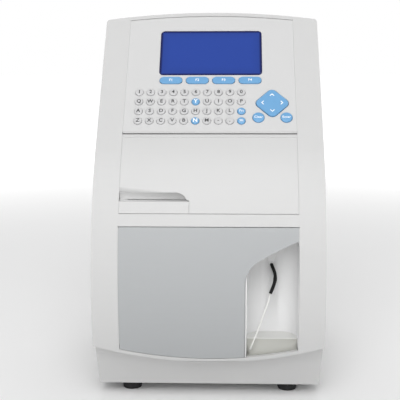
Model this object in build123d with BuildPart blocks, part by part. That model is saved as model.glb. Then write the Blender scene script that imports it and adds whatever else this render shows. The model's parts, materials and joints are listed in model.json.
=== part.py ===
from build123d import *
import os
from math import cos, radians, sin, sqrt, tan

# Benchtop chemistry analyzer, closed, standing on its feet.  Millimetres.
# +X right, +Y to the rear, +Z up; the origin is on the bench, under the middle of the housing.

# ---------------------------------------------------------------- driving sizes
# housing
WIDTH = 247.2
DEPTH = 300.0
HEIGHT = 418.0
TOP_CROWN = 8.0            # rise of the arched top from its corners to the middle
CORNER_R = 4.0
WALL = 3.0
FACE_WALL = 5.0            # the moulded front is thicker than the sides
FRONT_RETURN = 13.0        # the front moulding ends this far behind the console's top edge
FOOT_HEIGHT = 12.0
SIDE_DRAFT = 2.2           # each side narrows this much towards the bench
DRAFT_TOP = 66.0
JOINT_GAP = 0.3            # clearance between pieces that are dropped into each other
RUNNING_FIT = 0.05
SEAM = 0.1                 # visible seam round the console panel

# side profile of the front
BULGE_DROP = 308.0         # from the top down to the foremost line
BULGE_R = 260.0            # curve above it
BELLY_R = 220.0            # curve below it
LEAN = 39.5                # the console leans back from the vertical
LOWER_EDGE_Z = 46.5        # lowest point of the curved lower edge
LOWER_EDGE_R = 430.0
CHIN_TOP_Z = 66.0
CHIN_TOP_SETBACK = 12.6    # the chin is this far behind the front's own curve at its top
CHIN_BOTTOM_SETBACK = 11.0
CHIN_COVE_R = 8.0

# centre strip: console, printer cover, band and door
STRIP_WIDTH = 190.8
STRIP_GAP = 0.5            # running gap beside and under the cover and the door
SLOT_DROP = 130.5          # from the top down to the middle of the slot over the cover
SLOT_WIDTH = 2.5
COVER_HEIGHT = 80.5        # from that slot down to the cover's lower edge
BAND_HEIGHT = 14.1
DOOR_TOP_GAP = 1.4         # the door's outer face swings up past the band's lower edge
DOOR_THICK = 3.0
COVER_THICK = 2.5
LEDGE_HEIGHT = 4.0         # front ledge under the door

# console
PANEL_THICK = 2.5
PANEL_TOP_MARGIN = 4.7
PANEL_TOP_GAP = 1.2
PANEL_LEDGE = 5.5          # ledge under the panel's lower edge
PANEL_SIDE_LEDGE = 2.2
DISPLAY_W = 117.0
DISPLAY_H = 64.0
DISPLAY_UP = 109.5         # middle of the display, up the console from the slot
DISPLAY_R = 5.0
DISPLAY_LEDGE = 3.0        # the window rests on a ledge this wide in the panel
WINDOW_THICK = 1.6
MODULE_THICK = 9.0
MODULE_LAP = 4.0           # the module is this much wider than the window
MODULE_BEZEL = 6.0
MODULE_BEZEL_DEPTH = 1.0
KEY_D = 9.0
KEY_PITCH_X = 12.7
KEY_PITCH_UP = 12.8
KEY_COLUMNS = 10
KEY_ROWS = 4
FIRST_KEY_X = -79.5
FIRST_KEY_UP = 53.3
KEY_RAISE = 1.2
KEY_GAP = 0.35
KEY_EDGE = 0.5
FUNCTION_W = 25.5
FUNCTION_H = 9.5
FUNCTION_PITCH = 29.8
FUNCTION_COUNT = 4
FUNCTION_UP = 70.0
PAD_SIDE = 28.8
PAD_R = 6.0
PAD_X = 69.0
PAD_UP = 38.5
PAD_RAISE = 1.5
PAD_GAP = 0.6
PAD_EDGE = 0.8
PAD_SHELL = 1.2
CROSS_DEPTH = -2.0         # the cross's centre, from the console's face
CROSS_HUB = 3.2
CROSS_HUB_THICK = 2.0
CROSS_PIN_R = 0.8
EAR_PLACE = 4.0
EAR_THICK = 1.5
EAR_WIDTH = 3.6
EAR_SOLE = 1.5             # the ears' sole is this much wider than they are, each way
EAR_SOLE_THICK = 0.8
ROUND_D = 13.0
ROUND_UP = 19.3
ROUND_SPREAD = 30.8
FLANGE = 1.0               # each loose key has a flange this wide under the panel
FLANGE_THICK = 0.8
MAT_THICK = 2.3
MAT_MARGIN = 1.5
BOARD_THICK = 1.6
BOARD_MARGIN = 1.0

# cover and printer
ROLL_R = 2.7               # rolled top edge of the cover
BEAD_GROOVE_R = 0.5        # fine groove under the rolled edge
COVER_PIN_R = 1.2
COVER_PIN_LENGTH = 12.0
PIN_DEPTH = 4.0            # length of a hinge pin in the side of the opening
EDGE_RIB = 4.0
SCOOP_RISE = 21.0          # from the cover's lower edge up to the scoop's top
SCOOP_FLOOR = 4.5
SCOOP_SAG = 0.72           # share of the scoop's depth that is reached half way down
SCOOP_RIGHT_X = -23.0
SCOOP_CORNER_R = 12.0
PAPER_SLOT_RISE = 13.3
PAPER_SLOT = 1.0
PAPER_SLOT_MARGIN = 2.5
PAPER_WIDTH = 57.5
PAPER_X = -55.3
LIP_RISE = 12.0            # height of the tear bar
LIP_THICK = 3.0
LIP_EDGE = 0.8
LIP_RIGHT_X = -20.8
BOSS_THICK = 7.0           # the cover is thicker behind the scoop
PAPER_ROLL_R = 22.0
PAPER_CORE_R = 6.0
PAPER_ROLL_DEPTH = 67.7
PAPER_ROLL_RISE = 32.7
SPINDLE_R = 5.6
PLATEN_R = 6.0
PLATEN_DEPTH = 40.0
PLATEN_RISE = 2.0
PLATEN_SHAFT_R = 2.0
PLATEN_SHAFT_END = 1.0     # the shaft shows this much outside each side plate
ROLL_CLEARANCE = 4.0       # between the paper's edges and the side plates
HEAD_THICK = 5.5
HEAD_HEIGHT = 16.0
HEAD_EDGE = 1.5
SIDE_PLATE = 2.0
PLATE_BACK = 24.0          # the side plates reach this far behind the roll's middle
PLATE_FRONT = 8.0          # and this far in front of the platen's
PLATE_TOP = 22.0           # and this far above the roll's middle
PLATE_NOSE = 5.0           # they are this much higher than the platen's middle at their front
SHELF_FRONT_DEPTH = 28.0
SHELF_DROP = 10.6          # from the cover's lower edge down to the printer's shelf
CHASSIS_RISE = 2.5         # the chassis plate ends this far above the slot over the cover
CHASSIS_CLEARANCE = 8.6    # between the plate and the side walls
CHASSIS_DEPTH = 100.0      # the plate stands this far behind the foremost line
CHASSIS_FLANGE = 20.0
SHEET = 1.6

# door
KNUCKLE_R = 3.0
DOOR_PIN_R = 1.5
DOOR_PIN_LENGTH = 14.0
RIB_DEPTH = 4.0
RIB_THICK = 2.0
RIB_FOOT = 12.0            # the ribs start this far above the bay's floor
RIB_PLACES = (-0.62, -0.27, 0.08)   # shares of the door's half width
CATCH_WIDTH = 12.0
CATCH_HEIGHT = 9.0
CATCH_LEFT_MARGIN = 16.0   # from the door's left edge to the left catch
CATCH_RIGHT_MARGIN = 24.0  # from the niche to the right catch's left side
STRIKE_THICK = 0.5
STRIKE_MARGIN = 2.0
MAGNET_THICK = 5.7

# sampling niche
NICHE_LEFT_X = 38.6        # upright edge of the door beside the niche
NICHE_BEND_X = 52.0        # end of the tight bend
NICHE_TOP_DROP = 13.5      # from the door's top down to where its curved edge ends at the right
NICHE_BEND_DROP = 21.4     # from there down to the end of the tight bend
NICHE_CURVE_DROP = 45.4    # and to where the edge becomes upright
LINER_WALL = 2.2
LINER_DROP = 6.9           # from the door's top down to the liner's
LIP_WIDTH = 1.4            # the liner's front edge shows this wide beside the door
NICHE_ROOM = 22.0          # depth of the niche behind the wall of the chin
NICHE_CORNER_R = 18.0
NICHE_COVE_R = 12.0
TRAY_TOP_Z = 71.0
TRAY_WALL = 2.0
TRAY_SIDE_GAP = 1.4
TRAY_FACE_PLACE = 1.5      # the tray's face stands this far behind the chin's front face
TRAY_EDGE_R = 1.2
APRON_THICK = 1.2
COLLAR_R = 3.0
COLLAR_LENGTH = 1.6
COLLAR_EDGE = 0.6
COLLAR_NECK = 0.8          # the collar's shank is this much thinner, all round
COLLAR_SHANK = 6.0
COLLAR_NUT_THICK = 3.0
SLEEVE_R = 1.8
PROBE_R = 0.8
PROBE_X = 68.0
PROBE_DROP = 39.5          # from the liner's top down to the probe's collar
TIP_BELOW_TRAY = 10.8      # the probe's tip ends in front of the tray's step

# module bay behind the door
BAY_WALL = 2.0
BAY_FLOOR_Z = 64.0
BAY_DROP = 11.9            # from the door's top down to the bay's
BAY_SETBACK = 3.4
PUMP_X = -60.0
PUMP_DROP = 27.0           # from the bay's top down to the pump's middle
PUMP_R = 26.0
PUMP_TRACK_R = 19.5
PUMP_LENGTH = 20.0
PUMP_LEG = 18.0            # the track's straight legs below the pump's middle
ROLLER_CIRCLE_R = 11.8
ROLLER_R = 4.0
ROLLER_PIN_R = 1.2
ROLLER_COUNT = 3
ROTOR_SETBACK = 1.5
ROTOR_PLATE = 2.0
ROTOR_MARGIN = 1.0
PUMP_SHAFT_R = 2.5
PUMP_SHAFT_END = 10.0      # length of the shaft in the motor
PUMP_SHAFT_CLEARANCE = 1.5
MOTOR_R = 18.0
MOTOR_LENGTH = 38.0
MOTOR_EDGE_R = 2.0
PUMP_TUBE_R = 1.5
PUMP_TUBE_TAIL = 28.6      # the tube hangs this far below the pump's middle
STACK_X = 10.0
STACK_WIDTH = 26.0
STACK_DEPTH = 18.0
STACK_MARGIN = 3.0
STACK_EDGE = 1.0
STACK_SHIFT = 5.5          # the stack's middle is this far above the middle of the bay
STACK_ROOM = 27.0          # height of the bay that the stack of electrodes leaves free
ELECTRODE_PITCH = 17.0
ELECTRODE_R = 6.5
ELECTRODE_LENGTH = 24.0
ELECTRODE_GRIP = 1.2
ELECTRODE_GRIP_THICK = 4.0
ELECTRODE_GRIP_SIDES = 8
SOCKET_DEPTH = 6.0
VALVE_X = -18.0
VALVE_DROP = 13.0          # from the bay's top down to the valve's middle
VALVE_SIZE = 20.0
VALVE_CORNER_R = 2.0
VALVE_LENGTH = 24.0
VALVE_TRAVEL = 2.0
PLUNGER_R = 3.0
PLUNGER_HEAD_R = 4.8
PLUNGER_HEAD_THICK = 2.0
PACK_WIDTH = 66.0
PACK_CLEARANCE = 2.4       # between the reagent pack and the pump's tube
PACK_FRONT_ROOM = 16.3     # between the pack and the door's inner face
PACK_BACK_GAP = 1.0
PACK_EDGE_R = 2.0
PACK_X = -58.0
GRIP_UP = 0.72             # share of the pack's height
GRIP_WIDTH = 0.55          # share of the pack's width
GRIP_HEIGHT = 14.0
GRIP_DEPTH = 10.0
GRIP_R = 5.0

# rear and base
REAR_RECESS = 4.0
REAR_PLATE = 2.0
REAR_FLANGE = 9.0
PAN_RIM = 8.0
FOOT_D = 22.0
FOOT_HOLLOW = 0.45         # share of the foot's radius
FOOT_HOLLOW_DEPTH = 4.0
FOOT_TAPER = 1.5
FOOT_SOLE = 3.0
FOOT_SOLE_EDGE = 0.8
FOOT_INSET = 36.1          # from the sides of the housing
FRONT_FOOT_INSET = 17.7    # from the base pan's front edge
REAR_FOOT_INSET = 38.0     # from the rear
STUD_INSET = 16.6
FRONT_STUD_INSET = 20.7
REAR_STUD_INSET = 54.0
STUD_D = 8.0
STUD_DROP = 6.5
STUD_TAPER = 6.0
SCREW_R = 1.9
HEAD_R = 3.0
HEAD_SEAT_DEPTH = 2.5
SCREW_HEAD = 2.0
PANEL_HEAD_R = 3.2
PANEL_HEAD = 1.6
PANEL_SCREW_END = 4.0
PANEL_SCREW_DROP = 40.0    # from the top down to the upper screws of the rear panel
BOSS_HEIGHT = 22.0
INLET_INSET = 51.6         # from the right side of the housing
INLET_Z = 60.0
INLET_FLANGE_W = 62.0
INLET_FLANGE_H = 31.0
INLET_FLANGE_THICK = 2.0
INLET_FLANGE_MARGIN = 4.0
INLET_BODY_H = 27.0
INLET_CORNER_R = 2.0
INLET_BODY_DEPTH = 22.0
SOCKET_W = 24.6
SOCKET_H = 16.6
SOCKET_EDGE = 5.0
SOCKET_BORE = 16.0         # depth of the inlet's socket behind the rear panel's face
SOCKET_OFFSET = -13.0      # from the inlet's middle
CONTACT_W = 2.0
CONTACT_H = 4.0
CONTACT_LENGTH = 12.0
CONTACT_SPREAD = 7.0
CONTACT_UP = 2.5
CONTACT_DOWN = 2.0
ROCKER_OFFSET = 18.0       # from the inlet's middle
ROCKER_W = 11.0
ROCKER_H = 17.0
ROCKER_SIDE_GAP = 0.5
ROCKER_END_GAP = 1.5
ROCKER_WELL = 12.0
ROCKER_PIVOT_DEPTH = 4.0
ROCKER_PIVOT_R = 1.5
ROCKER_BELLY = 3.0         # depth of the rocker behind its pivot
ROCKER_HUB = 4.0
ROCKER_RISE = 4.6          # its pressed end, in front of the pivot
ROCKER_DISH = 0.6
ROCKER_TIP = 2.8           # its raised end stands this much further out
ROCKER_PIVOT_END = 1.7
SERIAL_INSET = 75.6        # from the left side of the housing
SERIAL_Z = 60.0
SERIAL_SHELL_W = 19.0
SERIAL_SHELL_H = 10.0
SERIAL_PLATE_W = 31.0
SERIAL_PLATE_H = 12.5
SERIAL_PLATE_THICK = 1.0
SERIAL_NOSE_W = 17.0
SERIAL_NOSE_H = 8.0
SERIAL_NOSE_LENGTH = 3.5
SERIAL_NOSE_ANGLE = 80.0
SERIAL_NOSE_R = 1.5
SERIAL_SCREW_SPREAD = 25.0
SERIAL_SCREW_R = 1.4
VENT_COUNT = 12
VENT_PITCH = 8.0
VENT_W = 90.0
VENT_H = 3.2
VENT_LOW = 0.58            # share of the height where the lowest vent is
BOARD_W = 150.0
BOARD_H = 110.0
BOARD_STANDOFF = 12.0
STANDOFF_R = 3.0
STANDOFF_MARGIN = 6.0
BOARD_SHIFT = 16.0         # the board's middle is this far to the right of the port
BOARD_BELOW_PORT = 14.0
PROCESSOR_SIDE = 28.0
PROCESSOR_UP = 50.0
CHIP_W = 14.0
CHIP_H = 20.0
CHIP_THICK = 3.0
CHIP_PLACES = ((-40, 40), (-40, 64), (42, 40))   # from the board's middle and the port's height
SUPPLY_W = 80.0
SUPPLY_DEPTH = 100.0
SUPPLY_HEIGHT = 42.0
SUPPLY_EDGE = 2.0
SUPPLY_SHIFT = 20.0        # its middle is this far to the left of the inlet
SUPPLY_CLEARANCE = 30.0    # between it and the rear panel

# ---------------------------------------------------------------- derived places
FRONT_Y = -DEPTH / 2
REAR_Y = DEPTH / 2
HALF = WIDTH / 2
STRIP = STRIP_WIDTH / 2                    # half width of the openings in the front
INSERT = STRIP - STRIP_GAP                 # half width of the cover and the door
PANEL_HALF = STRIP - SEAM                  # half width of the console panel
LEAN_RAD = radians(LEAN)
TOP_R = HALF**2 / (2 * TOP_CROWN) + TOP_CROWN / 2
BULGE_Y = FRONT_Y + BULGE_R                # centre of the upper curve
BELLY_Y = FRONT_Y + BELLY_R
BULGE_Z = HEIGHT - BULGE_DROP
SLOT_Z = HEIGHT - SLOT_DROP
COVER_BOTTOM_Z = SLOT_Z - COVER_HEIGHT
SCOOP_TOP_Z = COVER_BOTTOM_Z + SCOOP_RISE
PAPER_SLOT_Z = COVER_BOTTOM_Z + PAPER_SLOT_RISE
LIP_TOP_Z = COVER_BOTTOM_Z + LIP_RISE
PAPER_ROLL_Z = COVER_BOTTOM_Z + PAPER_ROLL_RISE
PLATEN_Z = COVER_BOTTOM_Z + PLATEN_RISE
SHELF_Z = COVER_BOTTOM_Z - SHELF_DROP
CHASSIS_TOP_Z = SLOT_Z + CHASSIS_RISE
CHASSIS_HALF = HALF - WALL - CHASSIS_CLEARANCE
CHASSIS_Y = FRONT_Y + CHASSIS_DEPTH
DOOR_TOP_Z = COVER_BOTTOM_Z - BAND_HEIGHT
BAND_TOP_Z = COVER_BOTTOM_Z - STRIP_GAP
BAND_BOTTOM_Z = DOOR_TOP_Z + DOOR_TOP_GAP
NICHE_TOP_Z = DOOR_TOP_Z - NICHE_TOP_DROP
NICHE_BEND_Z = NICHE_TOP_Z - NICHE_BEND_DROP
NICHE_CURVE_Z = NICHE_TOP_Z - NICHE_CURVE_DROP
LINER_TOP_Z = DOOR_TOP_Z - LINER_DROP
BAY_TOP_Z = DOOR_TOP_Z - BAY_DROP
PUMP_Z = BAY_TOP_Z - PUMP_DROP
VALVE_Z = BAY_TOP_Z - VALVE_DROP
STACK_Z = (BAY_FLOOR_Z + BAY_TOP_Z) / 2 + STACK_SHIFT
ELECTRODE_COUNT = int((BAY_TOP_Z - BAY_FLOOR_Z - STACK_ROOM) // ELECTRODE_PITCH)
PAN_TOP_Z = FOOT_HEIGHT + REAR_PLATE + PAN_RIM
STUD_X = HALF - STUD_INSET
FOOT_X = HALF - FOOT_INSET
INLET_X = HALF - INLET_INSET
SERIAL_X = SERIAL_INSET - HALF
PANEL_SCREWS = [(side * (HALF - WALL - REAR_FLANGE / 2), z) for side in (-1, 1)
                for z in (DRAFT_TOP, HEIGHT / 2, HEIGHT - PANEL_SCREW_DROP)]


def lean_start(inset):
    """Height where the curved front, moved inward by inset, runs into the straight console."""
    return BULGE_Z + (BULGE_R - inset) * sin(LEAN_RAD)


def front_y(inset, z):
    """Y of the front surface, moved inward by inset, at height z."""
    if z < BULGE_Z:
        return BELLY_Y - sqrt((BELLY_R - inset) ** 2 - (z - BULGE_Z) ** 2)
    if z < lean_start(inset):
        return BULGE_Y - sqrt((BULGE_R - inset) ** 2 - (z - BULGE_Z) ** 2)
    start_y = BULGE_Y - (BULGE_R - inset) * cos(LEAN_RAD)
    return start_y + (z - lean_start(inset)) * tan(LEAN_RAD)


def top_z(x, inset=0.0):
    """Height of the arched top at x."""
    return HEIGHT - TOP_R + sqrt((TOP_R - inset) ** 2 - x**2)


def lower_edge_z(x):
    """Height of the curved lower edge of the front at x."""
    return LOWER_EDGE_Z + LOWER_EDGE_R - sqrt(LOWER_EDGE_R**2 - x**2)


def front_line(inset, low, high):
    """Draw the front surface's side profile from low to high inside a BuildLine."""
    stops = [low] + [z for z in (BULGE_Z, lean_start(inset)) if low < z < high] + [high]
    for start, end in zip(stops, stops[1:]):
        middle = (start + end) / 2
        begin = (front_y(inset, start), start)
        finish = (front_y(inset, end), end)
        if start >= lean_start(inset) - 1e-6:
            Line(begin, finish)
        else:
            ThreePointArc(begin, (front_y(inset, middle), middle), finish)


def side_face(inset, low, high, back_y):
    """Side profile from the front surface to back_y, between two heights."""
    with BuildSketch() as face:
        with BuildLine():
            front_line(inset, low, high)
            Polyline((front_y(inset, high), high), (back_y, high), (back_y, low), (front_y(inset, low), low))
        make_face()
    return face.sketch


def skin_face(outer, inner, low, high):
    """Side profile of a skin between two insets of the front surface."""
    with BuildSketch() as face:
        with BuildLine():
            front_line(outer, low, high)
            Line((front_y(outer, high), high), (front_y(inner, high), high))
            front_line(inner, low, high)
            Line((front_y(inner, low), low), (front_y(outer, low), low))
        make_face()
    return face.sketch


def elevation_face(inset, bottom):
    """Front view of the housing: drafted lower sides, upright sides and an arched top."""
    bottom_half = HALF - inset - SIDE_DRAFT * (DRAFT_TOP - bottom) / (DRAFT_TOP - FOOT_HEIGHT)
    side = HALF - inset
    with BuildSketch() as face:
        with BuildLine():
            ThreePointArc((-side, top_z(side, inset)), (0, HEIGHT - inset), (side, top_z(side, inset)))
            Polyline((side, top_z(side, inset)), (side, DRAFT_TOP), (bottom_half, bottom),
                     (-bottom_half, bottom), (-side, DRAFT_TOP), (-side, top_z(side, inset)))
        make_face()
    return face.sketch


def under_arc_face(half_width, lift, bottom, top=None):
    """Front view of the space under (or over, up to top) the curved lower edge, moved up by lift."""
    ends_z = lower_edge_z(half_width) + lift
    far_z = bottom if top is None else top
    with BuildSketch() as face:
        with BuildLine():
            ThreePointArc((-half_width, ends_z), (0, LOWER_EDGE_Z + lift), (half_width, ends_z))
            Polyline((half_width, ends_z), (half_width, far_z), (-half_width, far_z), (-half_width, ends_z))
        make_face()
    return face.sketch


PARTING_Y = front_y(0, HEIGHT) + FRONT_RETURN      # front and rear mouldings meet here
CHIN_TOP_Y = front_y(0, CHIN_TOP_Z) + CHIN_TOP_SETBACK
CHIN_BOTTOM_Y = front_y(0, FOOT_HEIGHT) + CHIN_BOTTOM_SETBACK
CHIN_SLOPE = (CHIN_BOTTOM_Y - CHIN_TOP_Y) / (CHIN_TOP_Z - FOOT_HEIGHT)


def chin_y(z, back=0.0):
    """Y of the sloping chin at height z."""
    return CHIN_TOP_Y + CHIN_SLOPE * (CHIN_TOP_Z - z) + back


PAN_FRONT_Y = chin_y(FOOT_HEIGHT, WALL) + JOINT_GAP
FRONT_FOOT_Y = PAN_FRONT_Y + FRONT_FOOT_INSET
REAR_FOOT_Y = REAR_Y - REAR_FOOT_INSET
FRONT_STUD_Y = PAN_FRONT_Y + FRONT_STUD_INSET
REAR_STUD_Y = REAR_Y - REAR_STUD_INSET
STUD_PLACES = [(side * STUD_X, y) for side in (-1, 1) for y in (FRONT_STUD_Y, REAR_STUD_Y)]
CONSOLE = Plane(origin=(0, front_y(0, SLOT_Z), SLOT_Z), x_dir=(1, 0, 0),
                z_dir=(0, -cos(LEAN_RAD), sin(LEAN_RAD)))
OUTWARD = Axis((0, 0, 0), CONSOLE.z_dir)   # out of the console's face



def facing(y):
    """Plane that faces the front at y, with the sketch's own axes along X and Z."""
    return Plane.XZ.offset(-y)


def up_console(z):
    """Distance up the console from the slot to height z."""
    return (z - SLOT_Z) / cos(LEAN_RAD)


def console_outline(side_gap, top_gap, bottom):
    """Outline of the console panel, grown by the gaps, from bottom up to its arched top."""
    half = PANEL_HALF + side_gap
    corner = up_console(top_z(half) - PANEL_TOP_MARGIN) + top_gap
    crown = up_console(HEIGHT - PANEL_TOP_MARGIN) + top_gap
    with BuildSketch() as face:
        with BuildLine():
            ThreePointArc((-half, corner), (0, crown), (half, corner))
            Polyline((half, corner), (half, bottom), (-half, bottom), (-half, corner))
        make_face()
    return face.sketch


# ---------------------------------------------------------------- front frame
def chin_void_face(back):
    """Side profile of the empty space in front of the chin."""
    with BuildSketch() as face:
        with BuildLine():
            Polyline((FRONT_Y - WALL, 0), (chin_y(0, back), 0),
                     (chin_y(CHIN_TOP_Z + WALL, back), CHIN_TOP_Z + WALL),
                     (FRONT_Y - WALL, CHIN_TOP_Z + WALL), close=True)
        make_face()
    return face.sketch


with BuildPart() as chin_void:
    with BuildSketch(Plane.YZ):
        add(chin_void_face(0))
    extrude(amount=HALF + WALL, both=True)
    with BuildSketch(Plane.XZ):
        add(under_arc_face(HALF + WALL, 0, -WALL))
    extrude(amount=DEPTH, both=True, mode=Mode.INTERSECT)
    fillet(chin_void.faces().sort_by(Axis.Z)[-1].edges().sort_by(Axis.Y)[-1], CHIN_COVE_R)

with BuildPart() as chin_wall_zone:
    with BuildSketch(Plane.YZ):
        add(chin_void_face(WALL))
    extrude(amount=HALF + WALL, both=True)
    with BuildSketch(Plane.XZ):
        add(under_arc_face(HALF + WALL, WALL, -WALL))
    extrude(amount=DEPTH, both=True, mode=Mode.INTERSECT)

with BuildPart() as front_core:
    with BuildSketch(Plane.YZ):
        add(side_face(FACE_WALL, FOOT_HEIGHT - 1, HEIGHT, PARTING_Y + 1))
    extrude(amount=HALF, both=True)
    with BuildSketch(Plane.XZ):
        add(elevation_face(WALL, FOOT_HEIGHT - 1))
    extrude(amount=DEPTH, both=True, mode=Mode.INTERSECT)
    add(chin_wall_zone.part, mode=Mode.SUBTRACT)

cover_pin_axis = CONSOLE * Location((0, -SLOT_WIDTH / 2 - ROLL_R, -ROLL_R))
COVER_PIN_Y = cover_pin_axis.position.Y
COVER_PIN_Z = cover_pin_axis.position.Z
DOOR_PIN_Z = DOOR_TOP_Z - KNUCKLE_R
DOOR_PIN_Y = front_y(KNUCKLE_R, DOOR_PIN_Z)

with BuildPart() as front_frame:
    with BuildSketch(Plane.YZ):
        add(side_face(0, FOOT_HEIGHT, HEIGHT, PARTING_Y))
    extrude(amount=HALF, both=True)
    with BuildSketch(Plane.XZ):
        add(elevation_face(0, FOOT_HEIGHT))
    extrude(amount=DEPTH, both=True, mode=Mode.INTERSECT)
    fillet(front_frame.edges().filter_by(Axis.Y).group_by(Axis.Z)[-1], CORNER_R)
    add(chin_void.part, mode=Mode.SUBTRACT)
    add(front_core.part, mode=Mode.SUBTRACT)
    # shallow seat of the console panel, then the opening behind it
    with BuildSketch(CONSOLE.offset(-PANEL_THICK)):
        add(console_outline(SEAM, PANEL_TOP_GAP, SLOT_WIDTH / 2))
    extrude(amount=PANEL_THICK + WALL, mode=Mode.SUBTRACT)
    with BuildSketch(CONSOLE.offset(-FACE_WALL - 1)):
        add(console_outline(-PANEL_SIDE_LEDGE, -PANEL_LEDGE, SLOT_WIDTH / 2 + PANEL_LEDGE))
    extrude(amount=FACE_WALL + 1, mode=Mode.SUBTRACT)
    # opening of the printer cover: square to the console at the slot, level at the band
    with BuildSketch(CONSOLE.offset(-FACE_WALL - ROLL_R)):
        with Locations((0, SLOT_WIDTH / 2)):
            Rectangle(STRIP_WIDTH, 4 * ROLL_R + SLOT_WIDTH, align=(Align.CENTER, Align.MAX))
    extrude(amount=FACE_WALL + 2 * ROLL_R, mode=Mode.SUBTRACT)
    with BuildSketch(Plane.YZ):
        add(side_face(-WALL, BAND_TOP_Z, COVER_PIN_Z, CHASSIS_Y))
    extrude(amount=STRIP, both=True, mode=Mode.SUBTRACT)
    # opening of the door and the niche, with its curved ledge
    with BuildSketch(facing(CHASSIS_Y)):
        add(under_arc_face(STRIP, LEDGE_HEIGHT, 0, BAND_BOTTOM_Z))
    extrude(amount=CHASSIS_DEPTH + WALL, mode=Mode.SUBTRACT)
    # bores of the hinge pins
    with BuildSketch(Plane.YZ):
        with Locations((COVER_PIN_Y, COVER_PIN_Z)):
            Circle(COVER_PIN_R)
        with Locations((DOOR_PIN_Y, DOOR_PIN_Z)):
            Circle(DOOR_PIN_R)
    extrude(amount=STRIP + PIN_DEPTH, both=True, mode=Mode.SUBTRACT)
    # screw bosses at the base, each with a web to the side wall
    for side in (-1, 1):
        with BuildSketch(Plane.XY.offset(FOOT_HEIGHT + REAR_PLATE)):
            with Locations((side * STUD_X, FRONT_STUD_Y)):
                Circle(STUD_D / 2)
            with Locations((side * (STUD_X + HALF - WALL) / 2, FRONT_STUD_Y)):
                Rectangle(HALF - WALL - STUD_X, WALL)
        extrude(amount=BOSS_HEIGHT)
    with Locations((STUD_X, FRONT_STUD_Y, FOOT_HEIGHT), (-STUD_X, FRONT_STUD_Y, FOOT_HEIGHT)):
        Cylinder(SCREW_R + RUNNING_FIT, BOSS_HEIGHT, align=(Align.CENTER, Align.CENTER, Align.MIN),
                 mode=Mode.SUBTRACT)
front_frame.part.label = "front_frame"

# ---------------------------------------------------------------- rear housing
with BuildPart() as rear_housing:
    with BuildSketch(Plane.XZ.offset(-REAR_Y)):
        add(elevation_face(0, FOOT_HEIGHT))
    extrude(amount=REAR_Y - PARTING_Y)
    fillet(rear_housing.edges().filter_by(Axis.Y).group_by(Axis.Z)[-1], CORNER_R)
    with BuildSketch(Plane.XZ.offset(-REAR_Y)):
        add(elevation_face(WALL, FOOT_HEIGHT - 1))
    extrude(amount=DEPTH, mode=Mode.SUBTRACT)
    # flange that the rear panel is screwed to
    with BuildSketch(Plane.XZ.offset(-(REAR_Y - REAR_RECESS - REAR_PLATE))):
        add(elevation_face(WALL - JOINT_GAP, PAN_TOP_Z + JOINT_GAP))
        add(elevation_face(WALL + REAR_FLANGE, FOOT_HEIGHT), mode=Mode.SUBTRACT)
        with Locations(*PANEL_SCREWS):
            Circle(SCREW_R + RUNNING_FIT, mode=Mode.SUBTRACT)
    extrude(amount=REAR_PLATE)
    for side in (-1, 1):
        with BuildSketch(Plane.XY.offset(FOOT_HEIGHT + REAR_PLATE)):
            with Locations((side * STUD_X, REAR_STUD_Y)):
                Circle(STUD_D / 2)
            with Locations((side * (STUD_X + HALF - WALL) / 2, REAR_STUD_Y)):
                Rectangle(HALF - WALL - STUD_X, WALL)
        extrude(amount=BOSS_HEIGHT)
    with Locations((STUD_X, REAR_STUD_Y, FOOT_HEIGHT), (-STUD_X, REAR_STUD_Y, FOOT_HEIGHT)):
        Cylinder(SCREW_R + RUNNING_FIT, BOSS_HEIGHT, align=(Align.CENTER, Align.CENTER, Align.MIN),
                 mode=Mode.SUBTRACT)
rear_housing.part.label = "rear_housing"

# ---------------------------------------------------------------- base pan, studs, feet, screws
pan_half = HALF - SIDE_DRAFT - WALL - JOINT_GAP
pan_back = REAR_Y - REAR_RECESS - REAR_PLATE - JOINT_GAP
with BuildPart() as base_pan:
    with BuildSketch(Plane.XY.offset(FOOT_HEIGHT)):
        with Locations((0, (PAN_FRONT_Y + pan_back) / 2)):
            RectangleRounded(2 * pan_half, pan_back - PAN_FRONT_Y, CORNER_R)
    extrude(amount=REAR_PLATE + PAN_RIM)
    with BuildSketch(Plane.XY.offset(FOOT_HEIGHT + REAR_PLATE)):
        with Locations((0, (PAN_FRONT_Y + pan_back) / 2)):
            RectangleRounded(2 * (pan_half - SHEET), pan_back - PAN_FRONT_Y - 2 * SHEET, CORNER_R - SHEET)
    extrude(amount=PAN_RIM, mode=Mode.SUBTRACT)
    # the rim stops at the webs of the screw bosses
    with BuildSketch(Plane.XY.offset(FOOT_HEIGHT + REAR_PLATE)):
        with Locations(*STUD_PLACES):
            Rectangle(4 * STUD_D, WALL + 2 * JOINT_GAP)
    extrude(amount=PAN_RIM, mode=Mode.SUBTRACT)
    with BuildSketch(Plane.XY.offset(FOOT_HEIGHT)):
        with Locations(*STUD_PLACES):
            Circle(STUD_D / 2)
    extrude(amount=-STUD_DROP, taper=STUD_TAPER)
    with Locations(*[(x, y, FOOT_HEIGHT - STUD_DROP) for x, y in STUD_PLACES]):
        Cylinder(HEAD_R + RUNNING_FIT, HEAD_SEAT_DEPTH, align=(Align.CENTER, Align.CENTER, Align.MIN),
                 mode=Mode.SUBTRACT)
        Cylinder(SCREW_R + RUNNING_FIT, STUD_DROP + REAR_PLATE, align=(Align.CENTER, Align.CENTER, Align.MIN),
                 mode=Mode.SUBTRACT)
base_pan.part.label = "base_pan"


def foot_profile():
    """Half section of a moulded rubber foot, wider at the bench and hollow below."""
    radius = FOOT_D / 2
    hollow = radius * FOOT_HOLLOW
    with BuildSketch() as face:
        with BuildLine():
            Polyline((0, FOOT_HEIGHT), (radius - FOOT_TAPER, FOOT_HEIGHT), (radius, FOOT_SOLE),
                     (radius - FOOT_SOLE_EDGE, 0), (hollow, 0), (hollow, FOOT_HOLLOW_DEPTH),
                     (0, FOOT_HOLLOW_DEPTH), close=True)
        make_face()
    return face.sketch


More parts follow.
